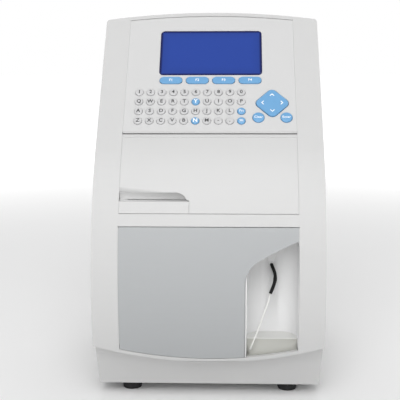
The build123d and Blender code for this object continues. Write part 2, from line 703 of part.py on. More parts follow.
FOOT_PLACES = [(side * FOOT_X, y) for side in (-1, 1) for y in (FRONT_FOOT_Y, REAR_FOOT_Y)]
with BuildPart() as rubber_feet:
    for foot_x, foot_y in FOOT_PLACES:
        with BuildSketch(Plane(origin=(foot_x, foot_y, 0), x_dir=(1, 0, 0), z_dir=(0, -1, 0))):
            add(foot_profile())
        revolve(axis=Axis((foot_x, foot_y, 0), (0, 0, 1)))
rubber_feet.part.label = "rubber_feet"

# ---------------------------------------------------------------- console
KEY_PLACES = [(column, row) for row in range(KEY_ROWS) for column in range(KEY_COLUMNS)]
LOOSE_KEYS = {"yes_key": (5, 1), "no_key": (5, 3), "print_key": (9, 2), "shift_key": (9, 3)}
ROUND_KEYS = {"clear_key": PAD_X - ROUND_SPREAD / 2, "enter_key": PAD_X + ROUND_SPREAD / 2}
FUNCTION_XS = [(index - (FUNCTION_COUNT - 1) / 2) * FUNCTION_PITCH for index in range(FUNCTION_COUNT)]


def key_place(column, row):
    """Place of a key on the console plane."""
    return (FIRST_KEY_X + column * KEY_PITCH_X, FIRST_KEY_UP - row * KEY_PITCH_UP)


GREY_PLACES = [key_place(*spot) for spot in KEY_PLACES if spot not in LOOSE_KEYS.values()]
LOOSE_PLACES = {name: key_place(*spot) for name, spot in LOOSE_KEYS.items()}

with BuildPart() as console_panel:
    with BuildSketch(CONSOLE.offset(-PANEL_THICK)):
        add(console_outline(0, 0, SLOT_WIDTH / 2))
        with Locations((0, DISPLAY_UP)):
            Rectangle(DISPLAY_W - 2 * DISPLAY_LEDGE, DISPLAY_H - 2 * DISPLAY_LEDGE, mode=Mode.SUBTRACT)
        with Locations(*[key_place(*spot) for spot in KEY_PLACES]):
            Circle(KEY_D / 2 + KEY_GAP, mode=Mode.SUBTRACT)
        with Locations(*[(x, ROUND_UP) for x in ROUND_KEYS.values()]):
            Circle(ROUND_D / 2 + KEY_GAP, mode=Mode.SUBTRACT)
        with Locations(*[(x, FUNCTION_UP) for x in FUNCTION_XS]):
            RectangleRounded(FUNCTION_W + 2 * KEY_GAP, FUNCTION_H + 2 * KEY_GAP, FUNCTION_H / 2,
                             mode=Mode.SUBTRACT)
        with Locations(Location((PAD_X, PAD_UP), 45)):
            RectangleRounded(PAD_SIDE + 2 * PAD_GAP, PAD_SIDE + 2 * PAD_GAP, PAD_R + PAD_GAP,
                             mode=Mode.SUBTRACT)
    extrude(amount=PANEL_THICK)
    with BuildSketch(CONSOLE.offset(-WINDOW_THICK - JOINT_GAP)):
        with Locations((0, DISPLAY_UP)):
            RectangleRounded(DISPLAY_W + JOINT_GAP, DISPLAY_H + JOINT_GAP, DISPLAY_R)
    extrude(amount=WINDOW_THICK + JOINT_GAP, mode=Mode.SUBTRACT)
console_panel.part.label = "console_panel"

with BuildPart() as display_window:
    with BuildSketch(CONSOLE.offset(-WINDOW_THICK - JOINT_GAP)):
        with Locations((0, DISPLAY_UP)):
            RectangleRounded(DISPLAY_W, DISPLAY_H, DISPLAY_R)
    extrude(amount=WINDOW_THICK)
display_window.part.label = "display_window"

with BuildPart() as display_module:
    with BuildSketch(CONSOLE.offset(-PANEL_THICK)):
        with Locations((0, DISPLAY_UP)):
            Rectangle(DISPLAY_W + MODULE_LAP, DISPLAY_H + MODULE_BEZEL_DEPTH)
    extrude(amount=-MODULE_THICK)
    with BuildSketch(CONSOLE.offset(-PANEL_THICK)):
        with Locations((0, DISPLAY_UP)):
            Rectangle(DISPLAY_W - MODULE_BEZEL, DISPLAY_H - MODULE_BEZEL)
    extrude(amount=-MODULE_BEZEL_DEPTH, mode=Mode.SUBTRACT)
display_module.part.label = "display_module"

BOARD_TOP = -PANEL_THICK - MAT_THICK
mat_low = FIRST_KEY_UP - (KEY_ROWS - 1) * KEY_PITCH_UP - KEY_D / 2 - MAT_MARGIN
mat_high = FIRST_KEY_UP + KEY_D / 2 + MAT_MARGIN
mat_left = FIRST_KEY_X - KEY_D / 2 - MAT_MARGIN
mat_right = FIRST_KEY_X + (KEY_COLUMNS - 1) * KEY_PITCH_X + KEY_D / 2 + MAT_MARGIN
with BuildPart() as keypad_mat:
    with BuildSketch(CONSOLE.offset(BOARD_TOP)):
        with Locations(((mat_left + mat_right) / 2, (mat_low + mat_high) / 2)):
            Rectangle(mat_right - mat_left, mat_high - mat_low)
        with Locations(*LOOSE_PLACES.values()):
            Circle(KEY_D / 2 + FLANGE + KEY_GAP, mode=Mode.SUBTRACT)
    extrude(amount=MAT_THICK)
    with BuildSketch(CONSOLE.offset(-PANEL_THICK)):
        with Locations(*GREY_PLACES):
            Circle(KEY_D / 2)
    extrude(amount=PANEL_THICK + KEY_RAISE)
    chamfer(keypad_mat.faces().sort_by(OUTWARD)[-len(GREY_PLACES):].edges(), KEY_EDGE)
keypad_mat.part.label = "keypad_mat"

with BuildPart() as keypad_board:
    with BuildSketch(CONSOLE.offset(BOARD_TOP)):
        board_high = FUNCTION_UP + FUNCTION_H / 2 + FLANGE
        with Locations((0, (mat_low + board_high) / 2)):
            Rectangle(2 * (PANEL_HALF - PANEL_SIDE_LEDGE - BOARD_MARGIN), board_high - mat_low)
    extrude(amount=-BOARD_THICK)
keypad_board.part.label = "keypad_board"


def loose_key(label, place, shape):
    """A key that slides in its hole in the panel, with a flange behind it that keeps it in."""
    with BuildPart() as key:
        with BuildSketch(CONSOLE.offset(-PANEL_THICK - JOINT_GAP - FLANGE_THICK)):
            with Locations(place):
                shape(FLANGE)
        extrude(amount=FLANGE_THICK)
        with BuildSketch(CONSOLE.offset(-PANEL_THICK - JOINT_GAP)):
            with Locations(place):
                shape(0)
        extrude(amount=PANEL_THICK + JOINT_GAP + KEY_RAISE)
        chamfer(key.faces().sort_by(OUTWARD)[-1].edges(), KEY_EDGE)
    key.part.label = label
    return key.part


def small_key(grow):
    """Outline of a small round key, grown by its flange or not."""
    Circle(KEY_D / 2 + grow)


def large_key(grow):
    """Outline of a large round key."""
    Circle(ROUND_D / 2 + grow)


def function_key(grow):
    """Outline of a long key with round ends."""
    RectangleRounded(FUNCTION_W + 2 * grow, FUNCTION_H + 2 * grow, FUNCTION_H / 2 - RUNNING_FIT + grow)


keys = [loose_key(name, place, small_key) for name, place in LOOSE_PLACES.items()]
keys += [loose_key(name, (x, ROUND_UP), large_key) for name, x in ROUND_KEYS.items()]
keys += [loose_key(f"function_key_{index + 1}", (x, FUNCTION_UP), function_key)
         for index, x in enumerate(FUNCTION_XS)]

# the four-way pad rocks on a cross whose pins lie in ears on the board and in ribs under the pad
with BuildPart() as cursor_pad:
    with BuildSketch(CONSOLE.offset(-PANEL_THICK - JOINT_GAP - PAD_GAP - FLANGE_THICK)):
        with Locations(Location((PAD_X, PAD_UP), 45)):
            RectangleRounded(PAD_SIDE + 2 * FLANGE, PAD_SIDE + 2 * FLANGE, PAD_R + FLANGE)
    extrude(amount=FLANGE_THICK)
    with BuildSketch(CONSOLE.offset(-PANEL_THICK - JOINT_GAP - PAD_GAP)):
        with Locations(Location((PAD_X, PAD_UP), 45)):
            RectangleRounded(PAD_SIDE, PAD_SIDE, PAD_R)
    extrude(amount=PANEL_THICK + JOINT_GAP + PAD_GAP + PAD_RAISE)
    chamfer(cursor_pad.faces().sort_by(OUTWARD)[-1].edges(), PAD_EDGE)
    with BuildSketch(CONSOLE.offset(PAD_RAISE - PAD_SHELL)):
        with Locations(Location((PAD_X, PAD_UP), 45)):
            RectangleRounded(PAD_SIDE - 3 * PAD_SHELL, PAD_SIDE - 3 * PAD_SHELL, PAD_R - PAD_SHELL)
    extrude(amount=-2 * (PANEL_THICK + PAD_RAISE), mode=Mode.SUBTRACT)
    with BuildSketch(CONSOLE.offset(PAD_RAISE - PAD_SHELL)):
        with Locations((PAD_X, PAD_UP + EAR_PLACE), (PAD_X, PAD_UP - EAR_PLACE)):
            Rectangle(EAR_WIDTH, EAR_THICK)
    extrude(amount=CROSS_DEPTH - CROSS_PIN_R - JOINT_GAP - PAD_RAISE + PAD_SHELL)
    with Locations(CONSOLE * Location((PAD_X, PAD_UP, CROSS_DEPTH), (90, 0, 0))):
        Cylinder(CROSS_PIN_R + RUNNING_FIT, 2 * (EAR_PLACE + EAR_THICK), mode=Mode.SUBTRACT)
cursor_pad.part.label = "cursor_pad"

with BuildPart() as cursor_cross:
    with Locations(CONSOLE * Location((PAD_X, PAD_UP, CROSS_DEPTH))):
        Box(CROSS_HUB, CROSS_HUB, CROSS_HUB_THICK)
        Cylinder(CROSS_PIN_R, 2 * EAR_PLACE + EAR_THICK, rotation=(90, 0, 0))
        Cylinder(CROSS_PIN_R, 2 * EAR_PLACE + EAR_THICK, rotation=(0, 90, 0))
cursor_cross.part.label = "cursor_cross"

with BuildPart() as cursor_base:
    with BuildSketch(CONSOLE.offset(BOARD_TOP)):
        with Locations((PAD_X, PAD_UP)):
            Rectangle(2 * EAR_PLACE + EAR_THICK, EAR_WIDTH + 2 * EAR_SOLE)
    extrude(amount=EAR_SOLE_THICK)
    with BuildSketch(CONSOLE.offset(BOARD_TOP)):
        with Locations((PAD_X + EAR_PLACE, PAD_UP), (PAD_X - EAR_PLACE, PAD_UP)):
            Rectangle(EAR_THICK, EAR_WIDTH)
    extrude(amount=CROSS_DEPTH + CROSS_PIN_R + JOINT_GAP - BOARD_TOP)
    with Locations(CONSOLE * Location((PAD_X, PAD_UP, CROSS_DEPTH), (0, 90, 0))):
        Cylinder(CROSS_PIN_R + RUNNING_FIT, 2 * (EAR_PLACE + EAR_THICK), mode=Mode.SUBTRACT)
cursor_base.part.label = "cursor_base"

# ---------------------------------------------------------------- printer cover and its tear bar
COVER_TOP_Z = (CONSOLE * Location((0, -SLOT_WIDTH / 2 - ROLL_R, 0))).position.Z
SLOT_LOW = PAPER_SLOT_Z - PAPER_SLOT / 2
SCOOP_MIDDLE_Z = (SCOOP_TOP_Z + SLOT_LOW) / 2
GROOVE_Z = (CONSOLE * Location((0, -SLOT_WIDTH / 2 - 2 * ROLL_R, 0))).position.Z

with BuildPart() as scoop:
    with BuildSketch(Plane.YZ):
        with BuildLine():
            ThreePointArc((front_y(0, SCOOP_TOP_Z), SCOOP_TOP_Z),
                          (front_y(SCOOP_SAG * SCOOP_FLOOR, SCOOP_MIDDLE_Z), SCOOP_MIDDLE_Z),
                          (front_y(SCOOP_FLOOR, SLOT_LOW), SLOT_LOW))
            Polyline((front_y(SCOOP_FLOOR, SLOT_LOW), SLOT_LOW), (front_y(-WALL, SLOT_LOW), SLOT_LOW),
                     (front_y(-WALL, SLOT_LOW), SCOOP_TOP_Z), (front_y(0, SCOOP_TOP_Z), SCOOP_TOP_Z))
        make_face()
    extrude(amount=STRIP, both=True)
    with BuildSketch(Plane.XZ):
        with BuildLine():
            Polyline((SCOOP_RIGHT_X, SLOT_LOW), (-STRIP, SLOT_LOW), (-STRIP, SCOOP_TOP_Z),
                     (SCOOP_RIGHT_X - SCOOP_CORNER_R, SCOOP_TOP_Z))
            TangentArc((SCOOP_RIGHT_X - SCOOP_CORNER_R, SCOOP_TOP_Z), (SCOOP_RIGHT_X, SLOT_LOW),
                       tangent=(1, 0))
        make_face()
    extrude(amount=DEPTH, both=True, mode=Mode.INTERSECT)

with BuildPart() as printer_cover:
    with BuildSketch(Plane.YZ):
        add(skin_face(0, COVER_THICK, COVER_BOTTOM_Z, COVER_TOP_Z))
        with Locations((COVER_PIN_Y, COVER_PIN_Z)):
            Circle(ROLL_R)
    extrude(amount=INSERT, both=True)
    with BuildSketch(Plane.YZ.offset(-INSERT)):
        add(skin_face(COVER_THICK / 2, BOSS_THICK, COVER_BOTTOM_Z, SCOOP_TOP_Z + WALL))
    extrude(amount=LIP_RIGHT_X + WALL + INSERT)
    for side in (-1, 1):
        with BuildSketch(Plane.YZ.offset(side * INSERT)):
            add(skin_face(COVER_THICK / 2, COVER_THICK + EDGE_RIB, COVER_BOTTOM_Z, COVER_TOP_Z - 4 * ROLL_R))
        extrude(amount=-side * RIB_THICK)
    add(scoop.part, mode=Mode.SUBTRACT)
    with BuildSketch(Plane.YZ):
        with Locations((front_y(0, GROOVE_Z), GROOVE_Z)):
            Circle(BEAD_GROOVE_R)
    extrude(amount=INSERT, both=True, mode=Mode.SUBTRACT)
    # seat of the tear bar, and the slot that the paper comes out of
    with BuildSketch(Plane.YZ.offset(-STRIP)):
        add(skin_face(-WALL, LIP_THICK + RUNNING_FIT, COVER_BOTTOM_Z - 1, SLOT_LOW))
    extrude(amount=LIP_RIGHT_X + JOINT_GAP + STRIP, mode=Mode.SUBTRACT)
    with BuildSketch(Plane.XZ.offset(-front_y(BOSS_THICK + WALL, SLOT_LOW))):
        with Locations((PAPER_X, PAPER_SLOT_Z)):
            Rectangle(PAPER_WIDTH + 2 * PAPER_SLOT_MARGIN, PAPER_SLOT)
    extrude(amount=BOSS_THICK + 2 * WALL, mode=Mode.SUBTRACT)
    for side in (-1, 1):
        with BuildSketch(Plane.YZ.offset(side * INSERT)):
            with Locations((COVER_PIN_Y, COVER_PIN_Z)):
                Circle(COVER_PIN_R + RUNNING_FIT)
        extrude(amount=-side * (COVER_PIN_LENGTH - PIN_DEPTH), mode=Mode.SUBTRACT)
printer_cover.part.label = "printer_cover"

with BuildPart() as tear_bar:
    with BuildSketch(Plane.YZ.offset(-INSERT)):
        add(skin_face(0, LIP_THICK, COVER_BOTTOM_Z, LIP_TOP_Z))
    extrude(amount=LIP_RIGHT_X + INSERT)
    fillet(tear_bar.edges().filter_by(Axis.X).group_by(Axis.Z)[-1].sort_by(Axis.Y)[0], LIP_EDGE)
tear_bar.part.label = "tear_bar"


def hinge_pins(label, pin_y, pin_z, radius, length):
    """Two steel pins, held in the sides of the opening, that a cover or door turns on."""
    with BuildPart() as pins:
        for side in (-1, 1):
            with BuildSketch(Plane.YZ.offset(side * (STRIP + PIN_DEPTH))):
                with Locations((pin_y, pin_z)):
                    Circle(radius)
            extrude(amount=-side * length)
    pins.part.label = label
    return pins.part


cover_pins = hinge_pins("cover_hinge_pins", COVER_PIN_Y, COVER_PIN_Z, COVER_PIN_R, COVER_PIN_LENGTH)
door_pins = hinge_pins("door_hinge_pins", DOOR_PIN_Y, DOOR_PIN_Z, DOOR_PIN_R, DOOR_PIN_LENGTH)

# ---------------------------------------------------------------- front door
DOOR_TANGENT_Z = BULGE_Z + (DOOR_PIN_Z - BULGE_Z) * BULGE_R / (BULGE_R - KNUCKLE_R)
RIB_TOP_Z = DOOR_PIN_Z - 4 * KNUCKLE_R


def door_bottom_z(x):
    """Height of the door's curved lower edge at x."""
    return lower_edge_z(x) + LEDGE_HEIGHT + STRIP_GAP


def door_outline(grow=0.0):
    """Front view of the door, whose lower right side swings up over the niche in two bends."""
    top_z = DOOR_TOP_Z + DOOR_TOP_GAP
    with BuildSketch() as face:
        with BuildLine():
            upright = Line((NICHE_LEFT_X, door_bottom_z(NICHE_LEFT_X)), (NICHE_LEFT_X, NICHE_CURVE_Z))
            bend = TangentArc(upright @ 1, (NICHE_BEND_X, NICHE_BEND_Z), tangent=(0, 1))
            TangentArc(bend @ 1, (INSERT, NICHE_TOP_Z), tangent=bend % 1)
            Polyline((INSERT, NICHE_TOP_Z), (INSERT, top_z), (-INSERT, top_z),
                     (-INSERT, door_bottom_z(INSERT)))
            middle_x = (NICHE_LEFT_X - INSERT) / 2
            ThreePointArc((-INSERT, door_bottom_z(INSERT)), (middle_x, door_bottom_z(middle_x)),
                          (NICHE_LEFT_X, door_bottom_z(NICHE_LEFT_X)))
        make_face()
        if grow:
            offset(amount=grow, kind=Kind.INTERSECTION)
    return face.sketch


with BuildPart() as front_door:
    with BuildSketch(Plane.YZ):
        add(skin_face(0, DOOR_THICK, LOWER_EDGE_Z, DOOR_TANGENT_Z))
        with Locations((DOOR_PIN_Y, DOOR_PIN_Z)):
            Circle(KNUCKLE_R)
    extrude(amount=INSERT, both=True)
    for share in RIB_PLACES:
        with BuildSketch(Plane.YZ.offset(share * INSERT)):
            add(skin_face(DOOR_THICK / 2, DOOR_THICK + RIB_DEPTH, BAY_FLOOR_Z + RIB_FOOT, RIB_TOP_Z))
        extrude(amount=RIB_THICK)
    with BuildSketch(Plane.XZ):
        add(door_outline())
    extrude(amount=DEPTH, both=True, mode=Mode.INTERSECT)
    for side in (-1, 1):
        with BuildSketch(Plane.YZ.offset(side * INSERT)):
            with Locations((DOOR_PIN_Y, DOOR_PIN_Z)):
                Circle(DOOR_PIN_R + RUNNING_FIT)
        extrude(amount=-side * (DOOR_PIN_LENGTH - PIN_DEPTH), mode=Mode.SUBTRACT)
front_door.part.label = "front_door"

NICHE_INNER_LEFT_X = NICHE_LEFT_X + STRIP_GAP + LIP_WIDTH
NICHE_INNER_RIGHT_X = STRIP
CATCH_XS = (-INSERT + CATCH_LEFT_MARGIN, NICHE_INNER_LEFT_X - CATCH_RIGHT_MARGIN)
MAGNET_FACE = DOOR_THICK + STRIKE_THICK + JOINT_GAP
with BuildPart() as door_strikes:
    for catch_x in CATCH_XS:
        with BuildSketch(Plane.YZ.offset(catch_x)):
            add(skin_face(DOOR_THICK, DOOR_THICK + STRIKE_THICK, BAY_FLOOR_Z + STRIKE_MARGIN,
                          BAY_FLOOR_Z + CATCH_HEIGHT))
        extrude(amount=CATCH_WIDTH)
door_strikes.part.label = "door_strikes"

with BuildPart() as door_magnets:
    for catch_x in CATCH_XS:
        with BuildSketch(Plane.YZ.offset(catch_x)):
            add(skin_face(MAGNET_FACE, MAGNET_FACE + MAGNET_THICK, BAY_FLOOR_Z, BAY_FLOOR_Z + CATCH_HEIGHT))
        extrude(amount=CATCH_WIDTH)
door_magnets.part.label = "door_magnets"

# ---------------------------------------------------------------- sampling niche
NICHE_BACK_Y = chin_y(CHIN_TOP_Z, WALL) + NICHE_ROOM
NICHE_MIDDLE_X = (NICHE_INNER_LEFT_X + NICHE_INNER_RIGHT_X) / 2
NICHE_WIDTH = NICHE_INNER_RIGHT_X - NICHE_INNER_LEFT_X
NICHE_FLOOR_Z = TRAY_TOP_Z - TRAY_WALL - JOINT_GAP
TRAY_FACE_Y = chin_y(CHIN_TOP_Z) + TRAY_FACE_PLACE
FACE_BACK = FACE_WALL + JOINT_GAP          # what lies behind the front's face starts at this inset
TROUGH_BACK_Y = TRAY_FACE_Y + TRAY_WALL + JOINT_GAP
PROBE_Z = LINER_TOP_Z - PROBE_DROP

with BuildPart() as chin_clearance:
    with BuildSketch(Plane.YZ):
        add(chin_void_face(WALL + JOINT_GAP))
    extrude(amount=HALF + WALL, both=True)
    with BuildSketch(Plane.XZ):
        add(under_arc_face(HALF + WALL, WALL + JOINT_GAP, -WALL))
    extrude(amount=DEPTH, both=True, mode=Mode.INTERSECT)


def niche_plan(grow, back_y=NICHE_BACK_Y):
    """Plan of the niche, grown by grow and open to the front, with round back corners."""
    with BuildSketch() as face:
        with Locations((NICHE_MIDDLE_X, back_y + grow)):
            Rectangle(NICHE_WIDTH + 2 * grow, DEPTH, align=(Align.CENTER, Align.MAX))
        fillet(face.vertices().group_by(Axis.Y)[-1], NICHE_CORNER_R + grow)
    return face.sketch


def trough_plan(grow, back_y):
    """Plan of the trough between the ledge and the step of the tray."""
    with BuildSketch() as face:
        with Locations((NICHE_MIDDLE_X, back_y)):
            Rectangle(NICHE_WIDTH + 2 * grow, DEPTH, align=(Align.CENTER, Align.MAX))
    return face.sketch


# the liner's front edge comes forward beside the door, from the ledge up to the door's bend
with BuildPart() as liner_edge:
    with BuildSketch(Plane.YZ.offset(NICHE_LEFT_X + STRIP_GAP)):
        add(skin_face(0, FACE_BACK + WALL, LOWER_EDGE_Z, NICHE_BEND_Z))
    extrude(amount=LIP_WIDTH)
    with BuildSketch(Plane.XZ):
        add(door_outline(STRIP_GAP))
        add(under_arc_face(HALF, LEDGE_HEIGHT + JOINT_GAP, 0))
    extrude(amount=DEPTH, both=True, mode=Mode.SUBTRACT)

with BuildPart() as niche_liner:
    with BuildSketch(Plane.XY.offset(NICHE_FLOOR_Z - LINER_WALL)):
        add(niche_plan(LINER_WALL))
    extrude(amount=LINER_TOP_Z - NICHE_FLOOR_Z + LINER_WALL)
    with BuildSketch(Plane.XY.offset(LOWER_EDGE_Z)):
        add(trough_plan(LINER_WALL, TROUGH_BACK_Y + LINER_WALL))
    extrude(amount=NICHE_FLOOR_Z - LOWER_EDGE_Z)
    with BuildSketch(Plane.YZ):
        add(side_face(FACE_BACK, LOWER_EDGE_Z, LINER_TOP_Z, CHASSIS_Y))
    extrude(amount=HALF, both=True, mode=Mode.INTERSECT)
    # the room inside, with coves under the ceiling, and the trough in front of the step
    with BuildSketch(Plane.XY.offset(NICHE_FLOOR_Z)) as room_plan:
        add(niche_plan(0))
    with BuildPart(mode=Mode.PRIVATE) as niche_room:
        add(room_plan.sketch)
        extrude(amount=LINER_TOP_Z - LINER_WALL - NICHE_FLOOR_Z)
        fillet(niche_room.faces().sort_by(Axis.Z)[-1].edges().sort_by(Axis.Y)[1:], NICHE_COVE_R)
    add(niche_room.part, mode=Mode.SUBTRACT)
    with BuildSketch(Plane.XY.offset(LOWER_EDGE_Z)):
        add(trough_plan(0, TROUGH_BACK_Y))
    extrude(amount=NICHE_FLOOR_Z - LOWER_EDGE_Z, mode=Mode.SUBTRACT)
    add(chin_clearance.part, mode=Mode.SUBTRACT)
    with Locations(Location((PROBE_X, NICHE_BACK_Y, PROBE_Z), (90, 0, 0))):
        Cylinder(COLLAR_R - COLLAR_NECK + JOINT_GAP / 2, 4 * LINER_WALL, mode=Mode.SUBTRACT)
    add(liner_edge.part)
niche_liner.part.label = "niche_liner"

tray_left = NICHE_INNER_LEFT_X + TRAY_SIDE_GAP
tray_right = NICHE_INNER_RIGHT_X - TRAY_SIDE_GAP
tray_back = TRAY_FACE_Y + TRAY_WALL


def apron_arc(x, lift=0.0):
    """Point on the underside of the tray's apron, over the curved web behind the ledge."""
    return (x, lower_edge_z(x) + WALL + JOINT_GAP + lift)


# an apron behind the ledge, a step, and a shelf from there to the back of the niche
with BuildPart() as drip_tray:
    with BuildSketch(Plane.XY.offset(LOWER_EDGE_Z)):
        add(niche_plan(-TRAY_SIDE_GAP))
    extrude(amount=TRAY_TOP_Z - LOWER_EDGE_Z)
    with BuildSketch(Plane.YZ) as step:
        with BuildLine():
            Polyline((TRAY_FACE_Y, LOWER_EDGE_Z), (TRAY_FACE_Y, TRAY_TOP_Z), (CHASSIS_Y, TRAY_TOP_Z),
                     (CHASSIS_Y, TRAY_TOP_Z - TRAY_WALL), (tray_back, TRAY_TOP_Z - TRAY_WALL),
                     (tray_back, LOWER_EDGE_Z), close=True)
        make_face()
        fillet(step.vertices().group_by(Axis.Y)[0].sort_by(Axis.Z)[-1], TRAY_EDGE_R)
    extrude(amount=HALF, both=True, mode=Mode.INTERSECT)
    with BuildSketch(facing(tray_back)):
        with BuildLine():
            ThreePointArc(apron_arc(tray_left), apron_arc(NICHE_MIDDLE_X), apron_arc(tray_right))
            Line(apron_arc(tray_right), apron_arc(tray_right, APRON_THICK))
            ThreePointArc(apron_arc(tray_left, APRON_THICK), apron_arc(NICHE_MIDDLE_X, APRON_THICK),
                          apron_arc(tray_right, APRON_THICK))
            Line(apron_arc(tray_left), apron_arc(tray_left, APRON_THICK))
        make_face()
    extrude(amount=DEPTH)
    with BuildSketch(Plane.YZ):
        add(side_face(FACE_BACK, LOWER_EDGE_Z, LINER_TOP_Z, CHASSIS_Y))
    extrude(amount=HALF, both=True, mode=Mode.INTERSECT)
    add(chin_clearance.part, mode=Mode.SUBTRACT)
drip_tray.part.label = "drip_tray"

with BuildPart() as probe_collar:
    with BuildSketch(facing(NICHE_BACK_Y)):
        with Locations((PROBE_X, PROBE_Z)):
            Circle(COLLAR_R)
    extrude(amount=COLLAR_LENGTH)
    fillet(probe_collar.faces().sort_by(Axis.Y)[0].edges(), COLLAR_EDGE)
    with BuildSketch(facing(NICHE_BACK_Y)):
        with Locations((PROBE_X, PROBE_Z)):
            Circle(COLLAR_R - COLLAR_NECK)
    extrude(amount=-COLLAR_SHANK)
    with BuildSketch(facing(NICHE_BACK_Y + LINER_WALL)):
        with Locations((PROBE_X, PROBE_Z)):
            RegularPolygon(COLLAR_R + 1, 6)
    extrude(amount=-COLLAR_NUT_THICK)
    with BuildSketch(facing(NICHE_BACK_Y)):
        with Locations((PROBE_X, PROBE_Z)):
            Circle(SLEEVE_R + RUNNING_FIT)
    extrude(amount=COLLAR_LENGTH, mode=Mode.SUBTRACT)
probe_collar.part.label = "probe_collar"


def bent_tube(label, route, radius):
    """A round bar along straight runs joined by tangent arcs as large as the runs allow."""
    stops = [Vector(*stop) for stop in route]
    radii = []
    for before, here, after in zip(stops, stops[1:], stops[2:]):
        turn = radians((here - before).get_angle(after - here))
        shorter = min((here - before).length, (after - here).length)
        radii.append(0.45 * shorter / tan(turn / 2))
    with BuildPart() as tube:
        with BuildLine() as path:
            FilletPolyline(*stops, radius=radii)
        with BuildSketch(Plane(origin=stops[0], z_dir=stops[1] - stops[0])):
            Circle(radius)
        sweep(path=path.line)
    tube.part.label = label
    return tube.part


# the sleeve leaves the collar forwards, droops and ends where the thin probe begins;
# each stop is its place across and forwards of the collar, and its share of the drop to the tip
SLEEVE_STOPS = [(0, 0, 0), (0, 5.5, 0), (3.4, 10.2, 0.07), (3.9, 13.3, 0.15), (1.8, 16.0, 0.232),
                (-1.9, 18.5, 0.32)]
PROBE_STOPS = [(-1.9, 18.5, 0.32), (-4.1, 20.6, 0.43), (-8.8, 23.5, 0.575), (-14.2, 26.5, 0.744),
               (-18.6, 28.6, 0.868), (-23.4, 30.4, 1)]


def probe_route(stops):
    """Places of the stops in space."""
    drop = PROBE_Z - TRAY_TOP_Z + TIP_BELOW_TRAY
    return [(PROBE_X + x, NICHE_BACK_Y - forward, PROBE_Z - share * drop) for x, forward, share in stops]


probe_sleeve = bent_tube("probe_sleeve", probe_route(SLEEVE_STOPS), SLEEVE_R)
sample_probe = bent_tube("sample_probe", probe_route(PROBE_STOPS), PROBE_R)

# ---------------------------------------------------------------- chassis plate and printer
PRINTER_FLOOR_Z = SHELF_Z + SHEET
ROLL_Y = FRONT_Y + PAPER_ROLL_DEPTH
PLATEN_Y = FRONT_Y + PLATEN_DEPTH
PLATE_BACK_Y = ROLL_Y + PLATE_BACK
PLATE_FRONT_Y = PLATEN_Y - PLATE_FRONT
PLATE_INNER = PAPER_WIDTH / 2 + ROLL_CLEARANCE     # from the paper's middle to a side plate

with BuildPart() as chassis_plate:
    with BuildSketch(Plane.XZ.offset(-CHASSIS_Y)):
        with Locations((0, FOOT_HEIGHT + REAR_PLATE)):
            Rectangle(2 * CHASSIS_HALF, CHASSIS_TOP_Z - FOOT_HEIGHT - REAR_PLATE,
                      align=(Align.CENTER, Align.MIN))
        with Locations((PUMP_X, PUMP_Z)):
            Circle(PUMP_SHAFT_R + PUMP_SHAFT_CLEARANCE, mode=Mode.SUBTRACT)
    extrude(amount=-SHEET)
    with BuildSketch(Plane.XY.offset(SHELF_Z)):
        with Locations((0, CHASSIS_Y)):
            Rectangle(2 * (STRIP - RIB_THICK), CHASSIS_DEPTH - SHELF_FRONT_DEPTH,
                      align=(Align.CENTER, Align.MAX))
    extrude(amount=SHEET)
    with BuildSketch(Plane.XY.offset(FOOT_HEIGHT + REAR_PLATE)):
        with Locations((0, CHASSIS_Y)):
            Rectangle(2 * CHASSIS_HALF, CHASSIS_FLANGE, align=(Align.CENTER, Align.MIN))
    extrude(amount=SHEET)
chassis_plate.part.label = "chassis_plate"

with BuildPart() as printer_frame:
    for side in (-1, 1):
        with BuildSketch(Plane.YZ.offset(PAPER_X + side * PLATE_INNER)):
            with BuildLine():
                Polyline((PLATE_BACK_Y, PRINTER_FLOOR_Z), (PLATE_BACK_Y, PAPER_ROLL_Z + PLATE_TOP / 2),
                         (ROLL_Y + PLATE_BACK / 2, PAPER_ROLL_Z + PLATE_TOP),
                         (ROLL_Y - PLATE_FRONT, PAPER_ROLL_Z + PLATE_TOP - PLATE_FRONT),
                         (PLATEN_Y + PLATE_FRONT, PAPER_ROLL_Z - PLATE_FRONT),
                         (PLATE_FRONT_Y + SIDE_PLATE, PLATEN_Z + PLATE_NOSE),
                         (PLATE_FRONT_Y, PRINTER_FLOOR_Z), close=True)
            make_face()
            with Locations((ROLL_Y, PAPER_ROLL_Z)):
                Circle(SPINDLE_R / 2 + RUNNING_FIT, mode=Mode.SUBTRACT)
            with Locations((PLATEN_Y, PLATEN_Z)):
                Circle(PLATEN_SHAFT_R + RUNNING_FIT, mode=Mode.SUBTRACT)
        extrude(amount=side * SIDE_PLATE)
    with BuildSketch(Plane.XY.offset(PRINTER_FLOOR_Z)):
        with Locations((PAPER_X, PLATE_BACK_Y)):
            Rectangle(2 * PLATE_INNER + SIDE_PLATE, PLATE_BACK_Y - PLATE_FRONT_Y,
                      align=(Align.CENTER, Align.MAX))
    extrude(amount=SIDE_PLATE)
printer_frame.part.label = "printer_frame"

with BuildPart() as print_head:
    with BuildSketch(Plane.YZ.offset(PAPER_X)):
        with Locations((PLATEN_Y + PLATEN_R + JOINT_GAP, PRINTER_FLOOR_Z + SIDE_PLATE)):
            Rectangle(HEAD_THICK, HEAD_HEIGHT, align=(Align.MIN, Align.MIN))
    extrude(amount=PAPER_WIDTH / 2, both=True)
    chamfer(print_head.edges().filter_by(Axis.X).group_by(Axis.Z)[-1], HEAD_EDGE)
print_head.part.label = "print_head"

with BuildPart() as platen_roller:
    with BuildSketch(Plane.YZ.offset(PAPER_X)):
        with Locations((PLATEN_Y, PLATEN_Z)):
            Circle(PLATEN_R)
            Circle(PLATEN_SHAFT_R, mode=Mode.SUBTRACT)
    extrude(amount=PAPER_WIDTH / 2, both=True)
platen_roller.part.label = "platen_roller"

